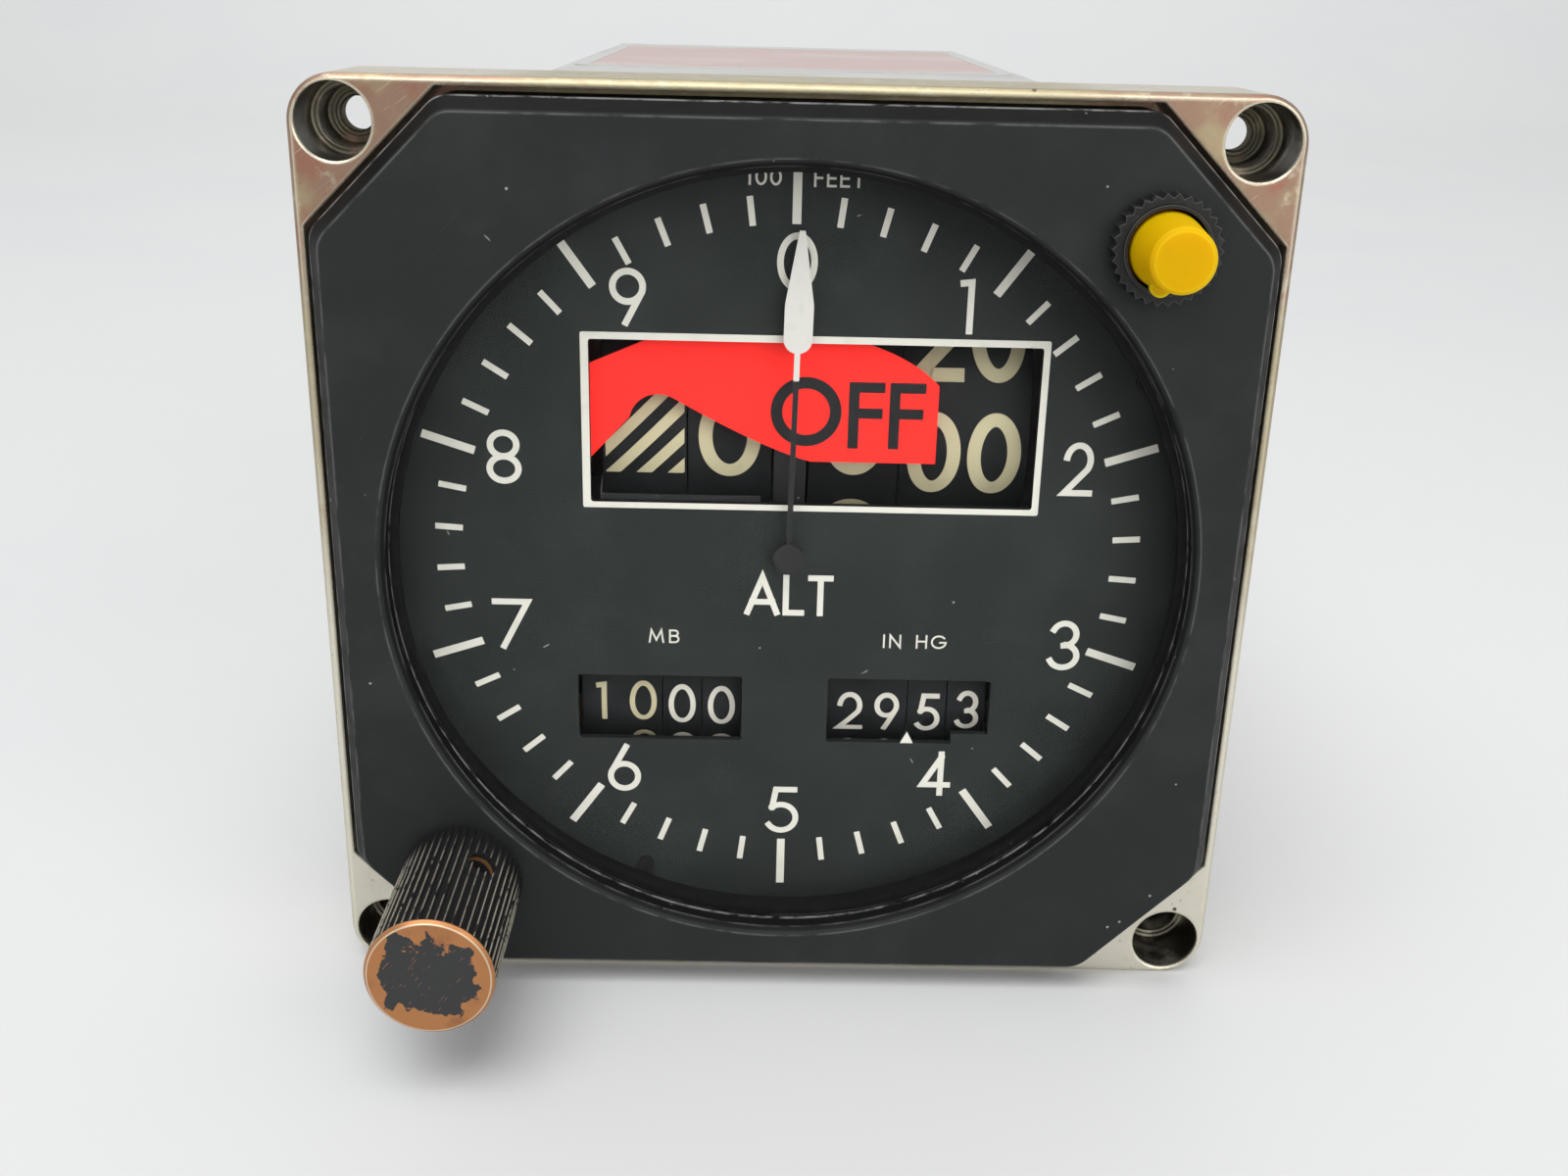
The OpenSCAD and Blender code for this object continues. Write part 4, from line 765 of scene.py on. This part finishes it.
def flag_print():
    bm = bmesh.new()
    write(bm, "O", OFF_O, OFF_O_H, OFF_O_STROKE, flag_place)
    for x in OFF_F_X:
        write(bm, "F", (x, OFF_F_Z), OFF_F_H, OFF_F_STROKE, flag_place)
    mesh_piece("flag_print", bm, BLACK, "flag")


flag_print()

# Drum figures

FIGURE_PITCH = 36
ALTITUDE_H, ALTITUDE_STROKE = 7.95, 1.25
PAIR_STRETCH = 0.83
PRESSURE_H, PRESSURE_STROKE, PRESSURE_STRETCH = 4.2, 0.5, 0.86
DIGITS = [str(i) for i in range(10)]
ALTITUDE_DRUMS = {
    "drum_thousands": (-1.6, (0,), DIGITS),
    "drum_hundreds": (-0.3, (0,), DIGITS),
    "drum_tens": (-6.1, (-2.77, 2.77), ["00", "20", "40", "60", "80"] * 2),
}
PRESSURE_DRUMS = {
    "mb_drum_hundreds": (-2.2, (-1.91, 2.02), [str(i + 10 if i < 5 else i).rjust(2) for i in range(10)]),
    "mb_drum_tens": (-4.0, (0,), DIGITS),
    "mb_drum_units": (-4.7, (0,), DIGITS),
    "hg_drum_inches": (-7.1, (-1.64, 1.91), [str(29 + (i if i < 5 else i - 10)) for i in range(10)]),
    "hg_drum_tenths": (-7.2, (0.17,), [str((5 + i) % 10) for i in range(10)]),
    "hg_drum_hundredths": (-4.9, (0.17,), [str((3 + i) % 10) for i in range(10)]),
}


def drum_figures(node, start, places, labels, height, stroke, stretch, finish):
    """Figures round a drum, the higher ones above the lower, each digit at its own place across it."""
    bm = bmesh.new()
    for i, label in enumerate(labels):
        place = drum_place(node, start + FIGURE_PITCH * i)
        for u, digit in zip(places, label):
            write(bm, digit, (u, 0), height, stroke, place, stretch=stretch)
    mesh_piece(node + "_figures", bm, finish, node)


def clip(outline, nx, nv, limit):
    """The part of a convex outline on which nx * u + nv * v is at most limit."""
    out = []
    for a, b in zip(outline, outline[1:] + outline[:1]):
        da = nx * a[0] + nv * a[1] - limit
        db = nx * b[0] + nv * b[1] - limit
        if da <= 0:
            out.append(a)
        if da * db < 0:
            t = da / (da - db)
            out.append((a[0] + (b[0] - a[0]) * t, a[1] + (b[1] - a[1]) * t))
    return out


HATCH_W, HATCH_H = 7.2, 7.9
HATCH_PITCH, HATCH_BAR, HATCH_SHIFT = 2.87, 1.42, 0.25
TEN_THOUSANDS_STRETCH = 0.98


def hatch(bm, place):
    """Slanting bars that stand where a leading nought would be, cut in slices to follow the drum."""
    slices = 16
    for i in range(-5, 6):
        start = i * HATCH_PITCH + HATCH_SHIFT
        for k in range(slices):
            v0 = HATCH_H * (k / slices - 0.5)
            v1 = HATCH_H * ((k + 1) / slices - 0.5)
            u0, u1 = start + v0, start + v1
            bar = [(u0, v0), (u0 + HATCH_BAR, v0), (u1 + HATCH_BAR, v1), (u1, v1)]
            bar = clip(clip(bar, 1, 0, HATCH_W / 2), -1, 0, HATCH_W / 2)
            if len(bar) > 2:
                prism(bm, bar, place)


def ten_thousands_figures():
    node = "drum_ten_thousands"
    start = -0.9
    bm = bmesh.new()
    hatch(bm, drum_place(node, start))
    for i in range(1, 10):
        place = drum_place(node, start + FIGURE_PITCH * i)
        write(bm, str(i), (0, 0), HATCH_H, ALTITUDE_STROKE, place, stretch=TEN_THOUSANDS_STRETCH)
    bmesh.ops.remove_doubles(bm, verts=bm.verts, dist=1e-7)
    mesh_piece(node + "_figures", bm, CREAM, node)


ten_thousands_figures()
for node, (start, places, labels) in ALTITUDE_DRUMS.items():
    stretch = 1.0 if len(places) == 1 else PAIR_STRETCH
    drum_figures(node, start, places, labels, ALTITUDE_H, ALTITUDE_STROKE, stretch, CREAM)
for node, (start, places, labels) in PRESSURE_DRUMS.items():
    finish = CREAM if node == "mb_drum_hundreds" else PALE_CREAM
    drum_figures(node, start, places, labels, PRESSURE_H, PRESSURE_STROKE, PRESSURE_STRETCH, finish)


def counter_mask():
    """Black foil over the lower figures of the two left drums, on an arm from the counter's side plate."""
    inset, wing_out = 0.9, 0.3
    front_y, foot, top = -3.3, 1.5, 4.64
    plate_y, plate_foot, plate_top = 13, 6, 11
    thickness, edge_h, edge_rise = 0.1, 0.12, 0.02
    left, right = box_mm("drum_ten_thousands")[0].x + inset, box_mm("drum_thousands")[1].x - inset
    wing_x = box_mm("drum_ten_thousands")[0].x - wing_out

    def front(u, v, h):
        return (u, front_y + thickness - h, v)

    def wing(u, v, h):
        return (wing_x + h, u, v)

    bm = bmesh.new()
    prism(bm, [(wing_x, foot), (left, foot), (left, top), (wing_x, top)], front, thickness)
    prism(bm, [(left, foot), (right, foot), (right, top), (left, top)], front, thickness)
    arm = [(front_y, foot), (plate_y, plate_foot), (plate_y, plate_top), (front_y, top)]
    prism(bm, arm, wing, thickness)
    mesh_piece("counter_mask", bm, FINISHES["frame_black"], "housing")
    bm = bmesh.new()
    line = [(left, top - edge_h), (right, top - edge_h), (right, top), (left, top)]
    prism(bm, line, front, thickness + edge_rise)
    grey = ink("edge_grey", (0.035, 0.035, 0.035))
    mesh_piece("counter_mask_edge", bm, grey, "housing")


counter_mask()

# Smooth rim of the knob's end, and the threads in the flange's screw holes


def knob_rim():
    """Chamfered ring that closes the knurl at the knob's front end."""
    end_y = KNOB_LOW.y
    back_y = end_y + RIM_DEPTH
    outer = KNOB_R - RIM_SINK
    bm = bmesh.new()
    profile = [
        (KNOB_R - RIM_WALL, end_y), (KNOB_R - KNOB_RIM, end_y), (outer, end_y + KNOB_RIM),
        (outer, back_y), (KNOB_R - RIM_BACK, back_y),
    ]
    lathe(bm, profile, KNOB_AXIS.x, KNOB_AXIS.z)
    mesh_piece("knob_rim", bm, FINISHES["knob_black"], "knob")


def screw_threads():
    """Threads that keep the panel screws in the flange's rear bores."""
    first, last, pitch, depth, root = -1.95, -0.05, 0.475, 0.38, 0.05
    turns = round((last - first) / pitch)
    profile = [(HOLE_R, last), (HOLE_R, first)]
    for i in range(turns):
        profile.append((HOLE_R - depth, first + (i + 0.5) * pitch))
        if i < turns - 1:
            profile.append((HOLE_R - root, first + (i + 1) * pitch))
    bm = bmesh.new()
    for x in (-HOLE_AT, HOLE_AT):
        for z in (-HOLE_AT, HOLE_AT):
            lathe(bm, profile, x, z, 48)
    mesh_piece("screw_threads", bm, FINISHES["flange_metal"], "housing")


knob_rim()
screw_threads()

# Return spring of the button, which shortens as the button goes in; its coil is copied into a piece of its
# own


def spring_coil():
    """A copy of the spring's coil, with a mesh of its own on the housing, shown in place of the coil."""
    coil = nodes["button_spring"]
    piece = bpy.data.objects.new("spring_coil", coil.data.copy())
    piece.matrix_world = coil.matrix_world.copy()
    bpy.context.scene.collection.objects.link(piece)
    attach(piece, "housing")
    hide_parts("button_spring")
    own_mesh(piece)


spring_coil()

# Bare label on the top of the case

LABEL, LABEL_ROUND = (-21.6, 33.0, 21.6, 89.0), 0.8
LABEL_T = 0.15
BORDER_W, BORDER_ROUND = 1.4, 1.6


def case_label():
    """Blank plate with a pale border, glued on the case's flat top."""
    def place(u, v, h):
        return (u, v, CASE_TOP_Z + h)

    border = (LABEL[0] - BORDER_W, LABEL[1] - BORDER_W, LABEL[2] + BORDER_W, LABEL[3] + BORDER_W)
    bm = bmesh.new()
    strip(bm, rounded_ring(LABEL, LABEL_ROUND), rounded_ring(border, BORDER_ROUND), place, LABEL_T, True)
    mesh_piece("label_border", bm, ink("label_grey", (0.55, 0.55, 0.54)), "housing")
    bm = bmesh.new()
    prism(bm, rounded_ring(LABEL, LABEL_ROUND), place, LABEL_T * 0.8)
    mesh_piece("label_plate", bm, label_pink(), "housing")


case_label()

# Cross recesses of the rear screws, as crosses of painted shade

SCREW_HEAD_R = 2.1
RECESS_REACH, RECESS_W, RECESS_H = 1.1, 0.42, 0.02


def screw_recesses(node, spread):
    """A dark cross of painted shade on the head of each screw of a group, for the shadow in its recess."""
    bm = bmesh.new()
    face_y = box_mm(node)[1].y

    for x, z in spread:
        def place(u, v, h):
            return (x + u, face_y + h, z + v)

        # Painted shade: two black bars stand for the shadow inside the cross recess.
        ribbon(bm, [(-RECESS_REACH, 0), (RECESS_REACH, 0)], RECESS_W, place, RECESS_H)
        ribbon(bm, [(0, -RECESS_REACH), (0, RECESS_REACH)], RECESS_W, place, RECESS_H)
    mesh_piece(node + "_recess", bm, BLACK, "housing")


def group_centres(node, radius):
    """Left, right, lowest and highest axis of the screws in a group, from the corners of its box."""
    low, high = box_mm(node)
    return low.x + radius, high.x - radius, low.z + radius, high.z - radius


left, right, down, up = group_centres("case_screws", SCREW_HEAD_R)
screw_recesses("case_screws", [(left, 0), (right, 0), (0, down), (0, up)])
left, right, down, up = group_centres("connector_screws", SCREW_HEAD_R)
screw_recesses("connector_screws", [(x, z) for x in (left, right) for z in (down, up)])

# Floor, light and camera

FLOOR_SIZE = 9000
SWEEP_Y = 900
SWEEP_R = 600


def floor_finish():
    f = Finish("floor", (0.78, 0.78, 0.78), 0.55)
    f.tint(f.band(f.noise(160, 4), 0.4, 0.75), (0.76, 0.765, 0.77))
    return f


def studio_floor():
    """Pale floor that sweeps up into the backdrop behind the object."""
    z = FLANGE_LOW.z
    rows = [(-FLOOR_SIZE / 2, z), (SWEEP_Y, z)]
    for y, up in arc(SWEEP_Y, z + SWEEP_R, SWEEP_R, SWEEP_R, -90, 0, 24):
        rows.append((y, up))
    rows.append((SWEEP_Y + SWEEP_R, FLOOR_SIZE / 2))
    bm = bmesh.new()
    sides = []
    for x in (-FLOOR_SIZE / 2, FLOOR_SIZE / 2):
        sides.append([bm.verts.new((x * MM, y * MM, up * MM)) for y, up in rows])
    for i in range(len(rows) - 1):
        bm.faces.new((sides[0][i], sides[1][i], sides[1][i + 1], sides[0][i + 1]))
    mesh = bpy.data.meshes.new("floor")
    bm.to_mesh(mesh)
    bm.free()
    for face in mesh.polygons:
        face.use_smooth = True
    floor = bpy.data.objects.new("floor", mesh)
    bpy.context.scene.collection.objects.link(floor)
    mesh.materials.append(floor_finish().mat)


def soft_box(name, at, aim, size, power):
    """Rectangular area lamp at a place, turned towards a point; lengths are in millimetres."""
    lamp = bpy.data.lights.new(name, "AREA")
    lamp.shape = "RECTANGLE"
    lamp.size, lamp.size_y = (s * MM for s in size)
    lamp.energy = power
    obj = bpy.data.objects.new(name, lamp)
    at, aim = Vector(at) * MM, Vector(aim) * MM
    obj.matrix_world = Matrix.Translation(at) @ (at - aim).to_track_quat("Z", "Y").to_matrix().to_4x4()
    bpy.context.scene.collection.objects.link(obj)


def world_light(strength, seen):
    """Even light from all round, with a paler tone where the camera, metal or glass looks at it."""
    world = bpy.data.worlds.new("studio")
    world.use_nodes = True
    bpy.context.scene.world = world
    tree = world.node_tree
    back = tree.nodes["Background"]
    path = tree.nodes.new("ShaderNodeLightPath")
    looked_at = path.outputs["Is Camera Ray"]
    for ray in ("Is Glossy Ray", "Is Transmission Ray"):
        more = tree.nodes.new("ShaderNodeMath")
        more.operation = "MAXIMUM"
        tree.links.new(looked_at, more.inputs[0])
        tree.links.new(path.outputs[ray], more.inputs[1])
        looked_at = more.outputs[0]
    level = tree.nodes.new("ShaderNodeMix")
    tree.links.new(looked_at, level.inputs[MIX_FACTOR])
    level.inputs[MIX_FLOAT_A].default_value = strength
    level.inputs[MIX_FLOAT_B].default_value = seen
    back.inputs["Color"].default_value = (0.98, 0.99, 1.0, 1)
    tree.links.new(level.outputs[MIX_FLOAT_OUT], back.inputs["Strength"])


def photo_camera():
    """Camera solved from the screw holes and the dial marks in the photo."""
    right = Vector((0.99969467, -0.00796985, 0.02338888))
    up = Vector((-0.01908, 0.35240, 0.93566))
    look = Vector((0.0156992, 0.93581678, -0.35213703))
    at = Vector((-2.616, -143.533, 48.376)) * MM
    data = bpy.data.cameras.new("photo_camera")
    data.lens = 36.66
    data.sensor_width = 36
    data.clip_start = 5 * MM
    camera = bpy.data.objects.new("photo_camera", data)
    turn = Matrix((right, up, -look)).transposed()
    camera.matrix_world = Matrix.Translation(at) @ turn.to_4x4()
    bpy.context.scene.collection.objects.link(camera)
    bpy.context.scene.camera = camera


studio_floor()
world_light(0.48, 0.79)
soft_box("key", (-180, -350, 950), (0, 0, 0), (900, 900), 7.6)
soft_box("fill", (500, -700, 350), (0, 0, 0), (700, 700), 3)
soft_box("back", (0, 600, 1300), (0, 1500, 900), (1800, 600), 8.2)
photo_camera()
bpy.context.scene.view_settings.view_transform = "Standard"
